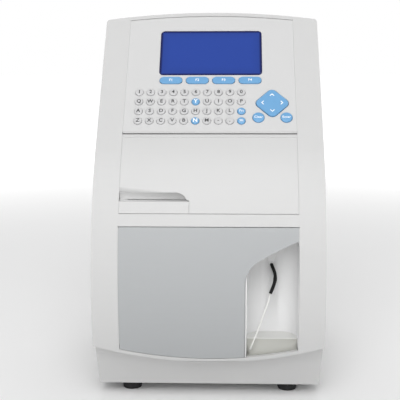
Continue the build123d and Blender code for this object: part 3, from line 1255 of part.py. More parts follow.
with BuildPart() as platen_shaft:
    with BuildSketch(Plane.YZ.offset(PAPER_X)):
        with Locations((PLATEN_Y, PLATEN_Z)):
            Circle(PLATEN_SHAFT_R)
    extrude(amount=PLATE_INNER + SIDE_PLATE + PLATEN_SHAFT_END, both=True)
platen_shaft.part.label = "platen_shaft"

with BuildPart() as paper_spindle:
    with BuildSketch(Plane.YZ.offset(PAPER_X)):
        with Locations((ROLL_Y, PAPER_ROLL_Z)):
            Circle(SPINDLE_R)
    extrude(amount=PLATE_INNER - JOINT_GAP, both=True)
    with BuildSketch(Plane.YZ.offset(PAPER_X)):
        with Locations((ROLL_Y, PAPER_ROLL_Z)):
            Circle(SPINDLE_R / 2)
    extrude(amount=PLATE_INNER + SIDE_PLATE, both=True)
paper_spindle.part.label = "paper_spindle"

with BuildPart() as paper_roll:
    with BuildSketch(Plane.YZ.offset(PAPER_X)):
        with Locations((ROLL_Y, PAPER_ROLL_Z)):
            Circle(PAPER_ROLL_R)
            Circle(PAPER_CORE_R, mode=Mode.SUBTRACT)
    extrude(amount=PAPER_WIDTH / 2, both=True)
paper_roll.part.label = "paper_roll"

# ---------------------------------------------------------------- module bay and what it carries
BAY_LEFT_X = -STRIP + JOINT_GAP
BAY_RIGHT_X = NICHE_INNER_LEFT_X - LINER_WALL - JOINT_GAP
BAY_BACK_Y = CHASSIS_Y - JOINT_GAP - BAY_WALL      # face of the bay's back wall
with BuildPart() as module_bay:
    with BuildSketch(Plane.YZ.offset(BAY_LEFT_X)):
        add(side_face(BAY_SETBACK, BAY_FLOOR_Z - BAY_WALL, BAY_TOP_Z + BAY_WALL, CHASSIS_Y - JOINT_GAP))
    extrude(amount=BAY_RIGHT_X - BAY_LEFT_X)
    with BuildSketch(Plane.XZ.offset(-BAY_BACK_Y)):
        with BuildLine():
            Polyline((BAY_LEFT_X + BAY_WALL, BAY_FLOOR_Z), (BAY_RIGHT_X - BAY_WALL, BAY_FLOOR_Z),
                     (BAY_RIGHT_X - BAY_WALL, BAY_TOP_Z), (BAY_LEFT_X + BAY_WALL, BAY_TOP_Z), close=True)
        make_face()
        fillet(vertices(), CORNER_R)
    extrude(amount=DEPTH, mode=Mode.SUBTRACT)
    with Locations(Location((PUMP_X, BAY_BACK_Y, PUMP_Z), (90, 0, 0))):
        Cylinder(PUMP_SHAFT_R + PUMP_SHAFT_CLEARANCE, 4 * BAY_WALL, mode=Mode.SUBTRACT)
module_bay.part.label = "module_bay"

PUMP_FRONT_Y = BAY_BACK_Y - PUMP_LENGTH
with BuildPart() as pump_housing:
    with BuildSketch(facing(BAY_BACK_Y)):
        with Locations((PUMP_X, PUMP_Z)):
            Circle(PUMP_R)
            Circle(PUMP_TRACK_R, mode=Mode.SUBTRACT)
            Rectangle(2 * PUMP_R, PUMP_R, align=(Align.CENTER, Align.MAX), mode=Mode.SUBTRACT)
        with Locations(*[(PUMP_X + side * (PUMP_R + PUMP_TRACK_R) / 2, PUMP_Z) for side in (-1, 1)]):
            Rectangle(PUMP_R - PUMP_TRACK_R, PUMP_LEG, align=(Align.CENTER, Align.MAX))
    extrude(amount=PUMP_LENGTH)
pump_housing.part.label = "pump_housing"

ROTOR_FRONT_Y = PUMP_FRONT_Y + ROTOR_SETBACK
ROTOR_BACK_Y = BAY_BACK_Y - ROTOR_MARGIN
ROTOR_R = ROLLER_CIRCLE_R + 0.6 * ROLLER_R
with BuildPart() as pump_rotor:
    for plate_y in (ROTOR_FRONT_Y + ROTOR_PLATE, ROTOR_BACK_Y):
        with BuildSketch(facing(plate_y)):
            with Locations((PUMP_X, PUMP_Z)):
                Circle(ROTOR_R)
        extrude(amount=ROTOR_PLATE)
    with BuildSketch(facing(ROTOR_BACK_Y)):
        with Locations((PUMP_X, PUMP_Z)):
            Circle(ROLLER_CIRCLE_R - ROLLER_R - ROTOR_MARGIN)
            with PolarLocations(ROLLER_CIRCLE_R, ROLLER_COUNT, start_angle=90):
                Circle(ROLLER_PIN_R)
    extrude(amount=ROTOR_BACK_Y - ROTOR_FRONT_Y)
    with BuildSketch(facing(CHASSIS_Y + SHEET + PUMP_SHAFT_END)):
        with Locations((PUMP_X, PUMP_Z)):
            Circle(PUMP_SHAFT_R)
    extrude(amount=CHASSIS_Y + SHEET + PUMP_SHAFT_END - ROTOR_FRONT_Y)
pump_rotor.part.label = "pump_rotor"

roller_front_y = ROTOR_FRONT_Y + ROTOR_PLATE + JOINT_GAP
roller_back_y = ROTOR_BACK_Y - ROTOR_PLATE - JOINT_GAP
with BuildPart() as pump_rollers:
    with BuildSketch(facing(roller_back_y)):
        with Locations((PUMP_X, PUMP_Z)):
            with PolarLocations(ROLLER_CIRCLE_R, ROLLER_COUNT, start_angle=90):
                Circle(ROLLER_R)
                Circle(ROLLER_PIN_R + RUNNING_FIT, mode=Mode.SUBTRACT)
    extrude(amount=roller_back_y - roller_front_y)
pump_rollers.part.label = "pump_rollers"

tube_r = PUMP_TRACK_R - PUMP_TUBE_R - RUNNING_FIT
with BuildPart() as pump_tube:
    with BuildLine(facing((ROTOR_FRONT_Y + BAY_BACK_Y) / 2)) as tube_path:
        first = Line((PUMP_X - tube_r, PUMP_Z - PUMP_TUBE_TAIL), (PUMP_X - tube_r, PUMP_Z))
        over = ThreePointArc(first @ 1, (PUMP_X, PUMP_Z + tube_r), (PUMP_X + tube_r, PUMP_Z))
        Line(over @ 1, (PUMP_X + tube_r, PUMP_Z - PUMP_TUBE_TAIL))
    with BuildSketch(Plane(origin=first @ 0, z_dir=first % 0)):
        Circle(PUMP_TUBE_R)
    sweep(path=tube_path.line)
pump_tube.part.label = "pump_tube"

with BuildPart() as pump_motor:
    with BuildSketch(facing(CHASSIS_Y + SHEET)):
        with Locations((PUMP_X, PUMP_Z)):
            Circle(MOTOR_R)
    extrude(amount=-MOTOR_LENGTH)
    fillet(pump_motor.faces().sort_by(Axis.Y)[-1].edges(), MOTOR_EDGE_R)
    with Locations(Location((PUMP_X, CHASSIS_Y + SHEET, PUMP_Z), (-90, 0, 0))):
        Cylinder(PUMP_SHAFT_R + RUNNING_FIT, PUMP_SHAFT_END + PUMP_SHAFT_CLEARANCE,
                 align=(Align.CENTER, Align.CENTER, Align.MIN), mode=Mode.SUBTRACT)
pump_motor.part.label = "pump_motor"

ELECTRODE_ZS = [STACK_Z + (index - (ELECTRODE_COUNT - 1) / 2) * ELECTRODE_PITCH
                for index in range(ELECTRODE_COUNT)]
with BuildPart() as electrode_holder:
    with BuildSketch(facing(BAY_BACK_Y)):
        with Locations((STACK_X, STACK_Z)):
            RectangleRounded(STACK_WIDTH, ELECTRODE_COUNT * ELECTRODE_PITCH + 2 * STACK_MARGIN, CORNER_R)
    extrude(amount=STACK_DEPTH)
    chamfer(electrode_holder.faces().sort_by(Axis.Y)[0].edges(), STACK_EDGE)
    with BuildSketch(facing(BAY_BACK_Y - STACK_DEPTH)):
        with Locations(*[(STACK_X, z) for z in ELECTRODE_ZS]):
            Circle(ELECTRODE_R + RUNNING_FIT)
    extrude(amount=-SOCKET_DEPTH, mode=Mode.SUBTRACT)
electrode_holder.part.label = "electrode_holder"

with BuildPart() as electrodes:
    with BuildSketch(facing(BAY_BACK_Y - STACK_DEPTH + SOCKET_DEPTH)):
        with Locations(*[(STACK_X, z) for z in ELECTRODE_ZS]):
            Circle(ELECTRODE_R)
    extrude(amount=ELECTRODE_LENGTH)
    with BuildSketch(facing(BAY_BACK_Y - STACK_DEPTH - JOINT_GAP)):
        with Locations(*[(STACK_X, z) for z in ELECTRODE_ZS]):
            RegularPolygon(ELECTRODE_R + ELECTRODE_GRIP, ELECTRODE_GRIP_SIDES)
    extrude(amount=ELECTRODE_GRIP_THICK)
electrodes.part.label = "electrodes"

with BuildPart() as pinch_valve:
    with BuildSketch(facing(BAY_BACK_Y)):
        with Locations((VALVE_X, VALVE_Z)):
            RectangleRounded(VALVE_SIZE, VALVE_SIZE, VALVE_CORNER_R)
    extrude(amount=VALVE_LENGTH)
    with BuildSketch(facing(BAY_BACK_Y - VALVE_LENGTH)):
        with Locations((VALVE_X, VALVE_Z)):
            Circle(PLUNGER_R + RUNNING_FIT)
    extrude(amount=-VALVE_LENGTH / 2, mode=Mode.SUBTRACT)
pinch_valve.part.label = "pinch_valve"

with BuildPart() as valve_plunger:
    with BuildSketch(facing(BAY_BACK_Y - VALVE_LENGTH / 2 - VALVE_TRAVEL - JOINT_GAP)):
        with Locations((VALVE_X, VALVE_Z)):
            Circle(PLUNGER_R)
    extrude(amount=VALVE_LENGTH / 2)
    with BuildSketch(facing(BAY_BACK_Y - VALVE_LENGTH - VALVE_TRAVEL - JOINT_GAP)):
        with Locations((VALVE_X, VALVE_Z)):
            Circle(PLUNGER_HEAD_R)
    extrude(amount=PLUNGER_HEAD_THICK)
valve_plunger.part.label = "valve_plunger"

PACK_BACK_Y = BAY_BACK_Y - PACK_BACK_GAP
PACK_FRONT_Y = front_y(DOOR_THICK, BAY_FLOOR_Z) + PACK_FRONT_ROOM
PACK_HEIGHT = PUMP_Z - PUMP_TUBE_TAIL - PACK_CLEARANCE - BAY_FLOOR_Z
with BuildPart() as reagent_pack:
    with BuildSketch(Plane.XY.offset(BAY_FLOOR_Z)):
        with Locations((PACK_X, PACK_BACK_Y)):
            Rectangle(PACK_WIDTH, PACK_BACK_Y - PACK_FRONT_Y, align=(Align.CENTER, Align.MAX))
    extrude(amount=PACK_HEIGHT)
    fillet(reagent_pack.edges().filter_by(Axis.Y), CORNER_R)
    fillet(reagent_pack.faces().sort_by(Axis.Y)[0].edges(), PACK_EDGE_R)
    # grip recess in the front
    with BuildSketch(facing(PACK_FRONT_Y)):
        with Locations((PACK_X, BAY_FLOOR_Z + PACK_HEIGHT * GRIP_UP)):
            RectangleRounded(PACK_WIDTH * GRIP_WIDTH, GRIP_HEIGHT, GRIP_R)
    extrude(amount=-GRIP_DEPTH, mode=Mode.SUBTRACT)
reagent_pack.part.label = "reagent_pack"

# ---------------------------------------------------------------- rear panel and its fittings
PANEL_BACK_Y = REAR_Y - REAR_RECESS        # outer face of the rear panel
PANEL_FRONT_Y = PANEL_BACK_Y - REAR_PLATE
INLET_BODY_W = INLET_FLANGE_W - 2 * INLET_FLANGE_MARGIN
VENT_ZS = [HEIGHT * VENT_LOW + index * VENT_PITCH for index in range(VENT_COUNT)]
with BuildPart() as rear_panel:
    with BuildSketch(Plane.XZ.offset(-PANEL_BACK_Y)):
        add(elevation_face(WALL + JOINT_GAP, FOOT_HEIGHT))
        with Locations((INLET_X, INLET_Z)):
            Rectangle(INLET_BODY_W, INLET_BODY_H, mode=Mode.SUBTRACT)
        with Locations((SERIAL_X, SERIAL_Z)):
            Rectangle(SERIAL_SHELL_W + 1, SERIAL_SHELL_H + 1, mode=Mode.SUBTRACT)
        with Locations(*[(0, z) for z in VENT_ZS]):
            SlotOverall(VENT_W, VENT_H, mode=Mode.SUBTRACT)
        with Locations(*PANEL_SCREWS):
            Circle(SCREW_R + RUNNING_FIT, mode=Mode.SUBTRACT)
    extrude(amount=REAR_PLATE)
rear_panel.part.label = "rear_panel"

INLET_FACE_Y = PANEL_BACK_Y + INLET_FLANGE_THICK
SOCKET_X = INLET_X + SOCKET_OFFSET
ROCKER_X = INLET_X + ROCKER_OFFSET
ROCKER_PIVOT_Y = PANEL_BACK_Y - ROCKER_PIVOT_DEPTH
ROCKER_FACE_Y = ROCKER_PIVOT_Y + ROCKER_RISE
CONTACTS = [(SOCKET_X, INLET_Z + CONTACT_UP), (SOCKET_X - CONTACT_SPREAD, INLET_Z - CONTACT_DOWN),
            (SOCKET_X + CONTACT_SPREAD, INLET_Z - CONTACT_DOWN)]
with BuildPart() as power_inlet:
    with BuildSketch(facing(INLET_FACE_Y)):
        with Locations((INLET_X, INLET_Z)):
            RectangleRounded(INLET_FLANGE_W, INLET_FLANGE_H, INLET_CORNER_R)
    extrude(amount=INLET_FLANGE_THICK)
    with BuildSketch(facing(PANEL_BACK_Y)):
        with Locations((INLET_X, INLET_Z)):
            Rectangle(INLET_BODY_W - JOINT_GAP, INLET_BODY_H - JOINT_GAP)
    extrude(amount=INLET_BODY_DEPTH)
    # the socket, with its two upper corners cut off and three contacts in it
    with BuildSketch(Plane(origin=(SOCKET_X, INLET_FACE_Y, INLET_Z), x_dir=(1, 0, 0), z_dir=(0, -1, 0))):
        Rectangle(SOCKET_W, SOCKET_H)
        chamfer(vertices().group_by(Axis.Z)[-1], SOCKET_EDGE)
    extrude(amount=INLET_FLANGE_THICK + SOCKET_BORE, mode=Mode.SUBTRACT)
    with BuildSketch(facing(PANEL_BACK_Y - SOCKET_BORE)):
        with Locations(*CONTACTS):
            Rectangle(CONTACT_W, CONTACT_H)
    extrude(amount=-CONTACT_LENGTH)
    with BuildSketch(facing(INLET_FACE_Y)):
        with Locations((ROCKER_X, INLET_Z)):
            Rectangle(ROCKER_W + 2 * ROCKER_SIDE_GAP, ROCKER_H + 2 * ROCKER_END_GAP)
    extrude(amount=INLET_FLANGE_THICK + ROCKER_WELL, mode=Mode.SUBTRACT)
    with Locations(Location((ROCKER_X, ROCKER_PIVOT_Y, INLET_Z), (0, 90, 0))):
        Cylinder(ROCKER_PIVOT_R, ROCKER_W + 2 * ROCKER_PIVOT_END + 2 * JOINT_GAP, mode=Mode.SUBTRACT)
power_inlet.part.label = "power_inlet"

with BuildPart() as power_rocker:
    with BuildSketch(Plane.YZ.offset(ROCKER_X)):
        with BuildLine():
            Polyline((ROCKER_PIVOT_Y - ROCKER_BELLY, INLET_Z - ROCKER_HUB),
                     (ROCKER_FACE_Y, INLET_Z - ROCKER_H / 2), (ROCKER_FACE_Y + ROCKER_DISH, INLET_Z),
                     (ROCKER_FACE_Y + ROCKER_TIP, INLET_Z + ROCKER_H / 2),
                     (ROCKER_PIVOT_Y, INLET_Z + ROCKER_H / 2 - ROCKER_DISH),
                     (ROCKER_PIVOT_Y - ROCKER_BELLY, INLET_Z + ROCKER_HUB), close=True)
        make_face()
    extrude(amount=ROCKER_W / 2, both=True)
    with Locations(Location((ROCKER_X, ROCKER_PIVOT_Y, INLET_Z), (0, 90, 0))):
        Cylinder(ROCKER_PIVOT_R - RUNNING_FIT, ROCKER_W + 2 * ROCKER_PIVOT_END)
power_rocker.part.label = "power_rocker"

BOARD_Y = PANEL_FRONT_Y - BOARD_STANDOFF - BOARD_THICK
BOARD_X = SERIAL_X + BOARD_SHIFT
BOARD_Z = SERIAL_Z - BOARD_BELOW_PORT + BOARD_H / 2
with BuildPart() as main_board:
    with BuildSketch(facing(BOARD_Y)):
        with Locations((BOARD_X, BOARD_Z)):
            Rectangle(BOARD_W, BOARD_H)
    extrude(amount=-BOARD_THICK)
    with BuildSketch(facing(BOARD_Y + BOARD_THICK)):
        with Locations((BOARD_X, BOARD_Z)):
            with GridLocations(BOARD_W - 2 * STANDOFF_MARGIN, BOARD_H - 2 * STANDOFF_MARGIN, 2, 2):
                Circle(STANDOFF_R)
    extrude(amount=-BOARD_STANDOFF)
    with BuildSketch(facing(BOARD_Y)):
        with Locations((BOARD_X, SERIAL_Z + PROCESSOR_UP)):
            Rectangle(PROCESSOR_SIDE, PROCESSOR_SIDE)
        with Locations(*[(BOARD_X + x, SERIAL_Z + z) for x, z in CHIP_PLACES]):
            Rectangle(CHIP_W, CHIP_H)
    extrude(amount=CHIP_THICK)
main_board.part.label = "main_board"

with BuildPart() as serial_port:
    with BuildSketch(facing(BOARD_Y + BOARD_THICK)):
        with Locations((SERIAL_X, SERIAL_Z)):
            Rectangle(SERIAL_SHELL_W, SERIAL_SHELL_H)
    extrude(amount=-(BOARD_STANDOFF + REAR_PLATE + SERIAL_PLATE_THICK / 2))
    with BuildSketch(facing(PANEL_BACK_Y)):
        with Locations((SERIAL_X, SERIAL_Z)):
            RectangleRounded(SERIAL_PLATE_W, SERIAL_PLATE_H, SERIAL_PLATE_THICK)
            with GridLocations(SERIAL_SCREW_SPREAD, 1, 2, 1):
                Circle(SERIAL_SCREW_R, mode=Mode.SUBTRACT)
    extrude(amount=-SERIAL_PLATE_THICK)
    with BuildSketch(facing(PANEL_BACK_Y)):
        with Locations((SERIAL_X, SERIAL_Z)):
            Trapezoid(SERIAL_NOSE_W, SERIAL_NOSE_H, SERIAL_NOSE_ANGLE)
        fillet(vertices(), SERIAL_NOSE_R)
    extrude(amount=-SERIAL_NOSE_LENGTH)
serial_port.part.label = "serial_port"

with BuildPart() as power_supply:
    with BuildSketch(Plane.XY.offset(FOOT_HEIGHT + REAR_PLATE)):
        with Locations((INLET_X - SUPPLY_SHIFT, PANEL_FRONT_Y - SUPPLY_CLEARANCE)):
            Rectangle(SUPPLY_W, SUPPLY_DEPTH, align=(Align.CENTER, Align.MAX))
    extrude(amount=SUPPLY_HEIGHT)
    chamfer(power_supply.edges().filter_by(Axis.Z), SUPPLY_EDGE)
power_supply.part.label = "power_supply"

with BuildPart() as housing_screws:
    with Locations(*[(x, y, FOOT_HEIGHT - STUD_DROP + HEAD_SEAT_DEPTH) for x, y in STUD_PLACES]):
        Cylinder(HEAD_R, SCREW_HEAD, align=(Align.CENTER, Align.CENTER, Align.MAX))
        Cylinder(SCREW_R, BOSS_HEIGHT / 2, align=(Align.CENTER, Align.CENTER, Align.MIN))
    with BuildSketch(facing(PANEL_BACK_Y)):
        with Locations(*PANEL_SCREWS):
            Circle(PANEL_HEAD_R)
    extrude(amount=-PANEL_HEAD)
    with BuildSketch(facing(PANEL_BACK_Y)):
        with Locations(*PANEL_SCREWS):
            Circle(SCREW_R)
    extrude(amount=2 * REAR_PLATE + PANEL_SCREW_END)
housing_screws.part.label = "housing_screws"

# ---------------------------------------------------------------- write the pieces
os.makedirs("parts", exist_ok=True)
BUILT = [
    front_frame, rear_housing, base_pan, rubber_feet, console_panel, display_window, display_module,
    keypad_mat, keypad_board, cursor_pad, cursor_cross, cursor_base, printer_cover, tear_bar,
    front_door, door_strikes, door_magnets, niche_liner, drip_tray, probe_collar, chassis_plate,
    printer_frame, print_head, platen_roller, platen_shaft, paper_spindle, paper_roll, module_bay,
    pump_housing, pump_rotor, pump_rollers, pump_tube, pump_motor, electrode_holder, electrodes,
    pinch_valve, valve_plunger, reagent_pack, rear_panel, power_inlet, power_rocker, main_board,
    serial_port, power_supply, housing_screws,
]
pieces = [built.part for built in BUILT] + [cover_pins, door_pins, probe_sleeve, sample_probe] + keys
for piece in pieces:
    export_step(piece, f"parts/{piece.label}.step")
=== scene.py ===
"""Looks of a benchtop chemistry analyzer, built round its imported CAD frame.

X is the user's right, Y the rear, Z up, and everything is in metres.  Each sub-assembly is a class
that dresses its CAD nodes and adds the detail the frame leaves out; main() builds them in order.
"""

import json
import logging
import math
from dataclasses import dataclass, field
from enum import Enum
from typing import Callable, ClassVar, Iterable, Sequence

import bmesh
import bpy
from mathutils import Euler, Matrix, Vector

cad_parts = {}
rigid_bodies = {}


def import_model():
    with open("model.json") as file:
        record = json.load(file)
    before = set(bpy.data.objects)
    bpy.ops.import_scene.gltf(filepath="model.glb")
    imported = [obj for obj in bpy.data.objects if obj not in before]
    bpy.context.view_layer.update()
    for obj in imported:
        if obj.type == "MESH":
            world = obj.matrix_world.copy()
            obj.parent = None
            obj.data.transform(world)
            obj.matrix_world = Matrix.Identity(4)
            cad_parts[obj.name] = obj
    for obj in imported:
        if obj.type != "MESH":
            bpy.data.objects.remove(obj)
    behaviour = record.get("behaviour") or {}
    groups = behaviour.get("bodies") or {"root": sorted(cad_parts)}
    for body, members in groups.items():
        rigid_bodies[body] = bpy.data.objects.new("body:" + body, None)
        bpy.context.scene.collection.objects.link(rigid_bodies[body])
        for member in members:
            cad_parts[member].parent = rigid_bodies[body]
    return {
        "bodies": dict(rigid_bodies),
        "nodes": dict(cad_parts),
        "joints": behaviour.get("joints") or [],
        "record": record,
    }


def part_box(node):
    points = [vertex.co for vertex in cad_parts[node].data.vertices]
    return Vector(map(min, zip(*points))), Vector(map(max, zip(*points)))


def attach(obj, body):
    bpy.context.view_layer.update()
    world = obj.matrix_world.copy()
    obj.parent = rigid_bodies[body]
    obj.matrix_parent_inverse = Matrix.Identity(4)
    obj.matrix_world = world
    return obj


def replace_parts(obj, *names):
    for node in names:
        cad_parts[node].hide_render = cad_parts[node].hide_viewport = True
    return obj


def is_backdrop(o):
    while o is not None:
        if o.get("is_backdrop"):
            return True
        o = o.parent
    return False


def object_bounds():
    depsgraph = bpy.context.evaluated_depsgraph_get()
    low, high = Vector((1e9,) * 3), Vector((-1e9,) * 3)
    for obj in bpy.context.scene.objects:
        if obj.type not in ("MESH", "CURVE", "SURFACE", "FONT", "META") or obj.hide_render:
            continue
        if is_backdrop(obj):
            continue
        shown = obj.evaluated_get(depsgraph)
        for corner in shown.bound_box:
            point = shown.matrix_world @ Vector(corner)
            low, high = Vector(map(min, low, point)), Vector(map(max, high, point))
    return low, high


LOG = logging.getLogger("analyzer")
MM = 0.001
Colour = tuple[float, float, float]
Point = tuple[float, float, float]
MERGE = 1e-6   # corners nearer than this, in metres, are one
BACKWARDS = Euler((math.pi / 2, 0, math.pi)).to_matrix().to_4x4()   # turns a flat drawing to face the rear


# ---------------------------------------------------------------- node trees and shader maths
def numbered(terms: Iterable[object]) -> dict[str, object]:
    """Return the inputs of a Math node, by number."""
    return {str(index): term for index, term in enumerate(terms)}


def operator(operation: str, turned: bool = False) -> "Callable[..., Value]":
    """Return a method that adds one Math node.

    Args:
        operation: what the node does.
        turned: whether the value comes last, as in 1 - value.

    Returns:
        The method.
    """
    def method(value: "Value", *others: "Value | float") -> "Value":
        """Add the node for a value and the other terms."""
        terms = (*others, value) if turned else (value, *others)
        return value.shader.node("ShaderNodeMath", {"operation": operation}, numbered(terms))["0"]

    return method


class Value:
    """A shader socket that adds Math nodes when it stands in an expression."""

    __add__ = __radd__ = operator("ADD")
    __sub__ = operator("SUBTRACT")
    __rsub__ = operator("SUBTRACT", turned=True)
    __mul__ = __rmul__ = operator("MULTIPLY")
    __truediv__ = operator("DIVIDE")
    abs = operator("ABSOLUTE")
    fract = operator("FRACT")
    max = operator("MAXIMUM")
    min = operator("MINIMUM")

    def __init__(self, shader: "Shader", socket: bpy.types.NodeSocket) -> None:
        """Keep the socket and the material it belongs to."""
        self.shader = shader
        self.socket = socket

    def step(self, low: float, high: float) -> "Value":
        """Return 0 below low and 1 above high, with a smooth rise between them."""
        inputs = {"Value": self, "From Min": low, "From Max": high}
        return self.shader.node("ShaderNodeMapRange", {"interpolation_type": "SMOOTHSTEP"}, inputs)["Result"]


class Tree:
    """A node tree while its nodes are being added."""

    def __init__(self, tree: bpy.types.NodeTree) -> None:
        """Keep the tree."""
        self.tree = tree

    @staticmethod
    def find(sockets: Iterable[bpy.types.NodeSocket], key: str) -> bpy.types.NodeSocket:
        """Find a socket by number, by identifier or by name.

        Args:
            sockets: the inputs or the outputs of a node.
            key: what to look for.

        Returns:
            The socket.
        """
        listed = list(sockets)
        if key.isdigit():
            return listed[int(key)]
        for socket in listed:
            if socket.identifier == key:
                return socket
        return next(socket for socket in listed if socket.name == key)

    def made(self, kind: str, settings: dict[str, object] | None = None,
             inputs: dict[str, object] | None = None) -> bpy.types.Node:
        """Add a node.

        Args:
            kind: the node's type.
            settings: its settings, which are set first.
            inputs: the value, the link or the links of each socket.

        Returns:
            The new node.
        """
        node = self.tree.nodes.new(kind)
        for name, setting in (settings or {}).items():
            setattr(node, name, setting)
        for key, given in (inputs or {}).items():
            socket = self.find(node.inputs, key)
            for one in given if isinstance(given, list) else [given]:
                one = one.socket if isinstance(one, Value) else one
                if isinstance(one, bpy.types.NodeSocket):
                    self.tree.links.new(one, socket)
                elif isinstance(one, tuple) and len(one) == 3 and socket.type == "RGBA":
                    socket.default_value = (*one, 1.0)
                else:
                    socket.default_value = one
        return node


class Outputs:
    """The outputs of one node, found by name or by number."""

    def __init__(self, shader: "Shader", node: bpy.types.Node) -> None:
        """Keep the node."""
        self.shader = shader
        self.node = node

    def __getitem__(self, key: str) -> Value:
        """Return an output as a value."""
        return Value(self.shader, self.shader.find(self.node.outputs, key))


class Shader(Tree):
    """One material, or the world, while its nodes are being added."""

    def __init__(self, name: str, holder: bpy.types.ID | None = None) -> None:
        """Start an empty node material.

        Args:
            name: the material's name.
            holder: a world that the nodes go into instead.
        """
        self.material = holder or bpy.data.materials.new(name)
        self.material.use_nodes = True
        super().__init__(self.material.node_tree)
        self.tree.nodes.clear()

    def node(self, kind: str, settings: dict[str, object] | None = None,
             inputs: dict[str, object] | None = None) -> Outputs:
        """Add a node, as made() does, and return its outputs."""
        return Outputs(self, self.made(kind, settings, inputs))

    def place(self) -> Value:
        """Return the Object coordinates, in metres."""
        return self.node("ShaderNodeTexCoord")["Object"]

    def axes(self) -> tuple[Value, Value, Value]:
        """Return the three Object coordinates one by one."""
        split = self.node("ShaderNodeSeparateXYZ", None, {"Vector": self.place()})
        return split["X"], split["Y"], split["Z"]

    def noise(self, size: float, layers: float = 2.0, stretch: Point = (1, 1, 1)) -> Value:
        """Return noise from 0 to 1.

        Args:
            size: the size of its blobs, in metres.
            layers: how many finer layers it has.
            stretch: how much longer the blobs are along each axis.

        Returns:
            The noise.
        """
        scaled = self.node("ShaderNodeMapping", None, {
            "Vector": self.place(), "Scale": tuple(1 / (size * along) for along in stretch)})["Vector"]
        inputs = {"Vector": scaled, "Scale": 1.0, "Detail": layers}
        return self.node("ShaderNodeTexNoise", None, inputs)["Fac"]

    def mix(self, first: "Colour | Value", second: "Colour | Value", share: "Value | float") -> Value:
        """Mix two colours."""
        return self.node("ShaderNodeMix", {"data_type": "RGBA"}, {
            "Factor_Float": share, "A_Color": first, "B_Color": second})["Result_Color"]

    def bump(self, height: Value, depth: float) -> Value:
        """Return a normal bent by a height of so many metres."""
        return self.node("ShaderNodeBump", None, {"Height": height, "Distance": depth})["Normal"]

    def surface(self, **inputs: object) -> bpy.types.Material:
        """Finish the material with a Principled shader.

        Args:
            inputs: the shader's sockets, with underscores for the spaces in their names.

        Returns:
            The material.
        """
        named = {name.replace("_", " "): given for name, given in inputs.items()}
        shader = self.node("ShaderNodeBsdfPrincipled", None, named)["BSDF"]
        self.node("ShaderNodeOutputMaterial", None, {"Surface": shader})
        return self.material


# ---------------------------------------------------------------- finishes
@dataclass(frozen=True)
class Finish:
    """A surface with paler and darker patches, an uneven sheen and a fine grain.

    The grain, the patches and the relief are in metres.  The sheen's spots are a share of the patches, and
    change and swing say how far the colour and the roughness go from one spot to the next.
    """

    name: str
    colour: Colour
    roughness: float = 0.5
    patch: float = 0.05
    change: float = 0.015
    sheen: float = 0.2
    swing: float = 0.1
    grain: float = 0.0012
    layers: float = 2.0
    relief: float = 0.00004
    gloss: float = 0.5
    made: ClassVar[dict[str, bpy.types.Material]] = {}

    def material(self) -> bpy.types.Material:
        """Return the material, made once.

        Returns:
            The material.
        """
        if self.name not in self.made:
            self.made[self.name] = self.build(Shader(self.name))
        return self.made[self.name]

    def varied(self, shader: Shader) -> Value:
        """Return the base colour with soft lighter and darker patches.

        Args:
            shader: the material that the nodes go into.

        Returns:
            The colour.
        """
        darker = tuple(part * (1 - self.change) for part in self.colour)
        lighter = tuple(min(1.0, part * (1 + self.change)) for part in self.colour)
        return shader.mix(darker, lighter, shader.noise(self.patch))

    def uneven(self, spots: Value, middle: float | None = None) -> Value:
        """Return the roughness, or another middle value, as it swings from spot to spot."""
        return (self.roughness if middle is None else middle) + (spots - 0.5) * self.swing

    def build(self, shader: Shader) -> bpy.types.Material:
        """Add grain, faint patches and an uneven sheen.

        Args:
            shader: the material that the nodes go into.

        Returns:
            The material.
        """
        grain = shader.noise(self.grain, self.layers)
        return shader.surface(
            Base_Color=self.varied(shader), Roughness=self.uneven(shader.noise(self.patch * self.sheen)),
            Specular_IOR_Level=self.gloss, Normal=shader.bump(grain, self.relief))


@dataclass(frozen=True)
class MouldedPlastic(Finish):
    """Injection moulded housing plastic with a fine spark-eroded grain."""

    roughness: float = 0.42
    patch: float = 0.09
    change: float = 0.012
    sheen: float = 0.25
    swing: float = 0.08
    grain: float = 0.0005
    layers: float = 3.0
    relief: float = 0.00002


@dataclass(frozen=True)
class TrayPlastic(MouldedPlastic):
    """Grey moulding whose top face is painted lighter than its front, a painted highlight where light falls
    on the top.
    """

    # painted highlight: the top face's colour, lighter than the front because light falls on it from above
    deck: Colour = (0.66, 0.66, 0.64)
    deck_edge: tuple[float, float] = (0.0695, 0.0705)

    def varied(self, shader: Shader) -> Value:
        """Paint what lies above the top face's edge lighter, as a painted highlight."""
        _, _, height = shader.axes()
        return shader.mix(super().varied(shader), self.deck, height.step(*self.deck_edge))


@dataclass(frozen=True)
class SoftRubber(Finish):
    """Matt moulded rubber or silicone with a soft grain and dusty patches."""

    roughness: float = 0.75
    patch: float = 0.012
    change: float = 0.10
    sheen: float = 0.5
    swing: float = 0.15
    grain: float = 0.0008
    layers: float = 4.0
    relief: float = 0.00005


@dataclass(frozen=True)
class PaintedSteel(Finish):
    """Powder coated sheet with a light orange peel."""


@dataclass(frozen=True)
class DrawnFinish(Finish):
    """A surface whose sheen and grain both follow fine lines along one axis."""

    lines: Point = (60.0, 1.0, 1.0)
    metal: float = 0.0

    def build(self, shader: Shader) -> bpy.types.Material:
        """Add the lines to the sheen and the grain.

        Args:
            shader: the material that the nodes go into.

        Returns:
            The material.
        """
        lines = shader.noise(self.grain, self.layers, self.lines)
        return shader.surface(Base_Color=self.varied(shader), Metallic=self.metal,
                              Roughness=self.uneven(lines), Normal=shader.bump(lines, self.relief))


@dataclass(frozen=True)
class BareSteel(DrawnFinish):
    """Drawn or turned steel."""

    roughness: float = 0.32
    patch: float = 0.01
    change: float = 0.06
    swing: float = 0.25
    grain: float = 0.0003
    layers: float = 3.0
    relief: float = 0.00001
    metal: float = 1.0


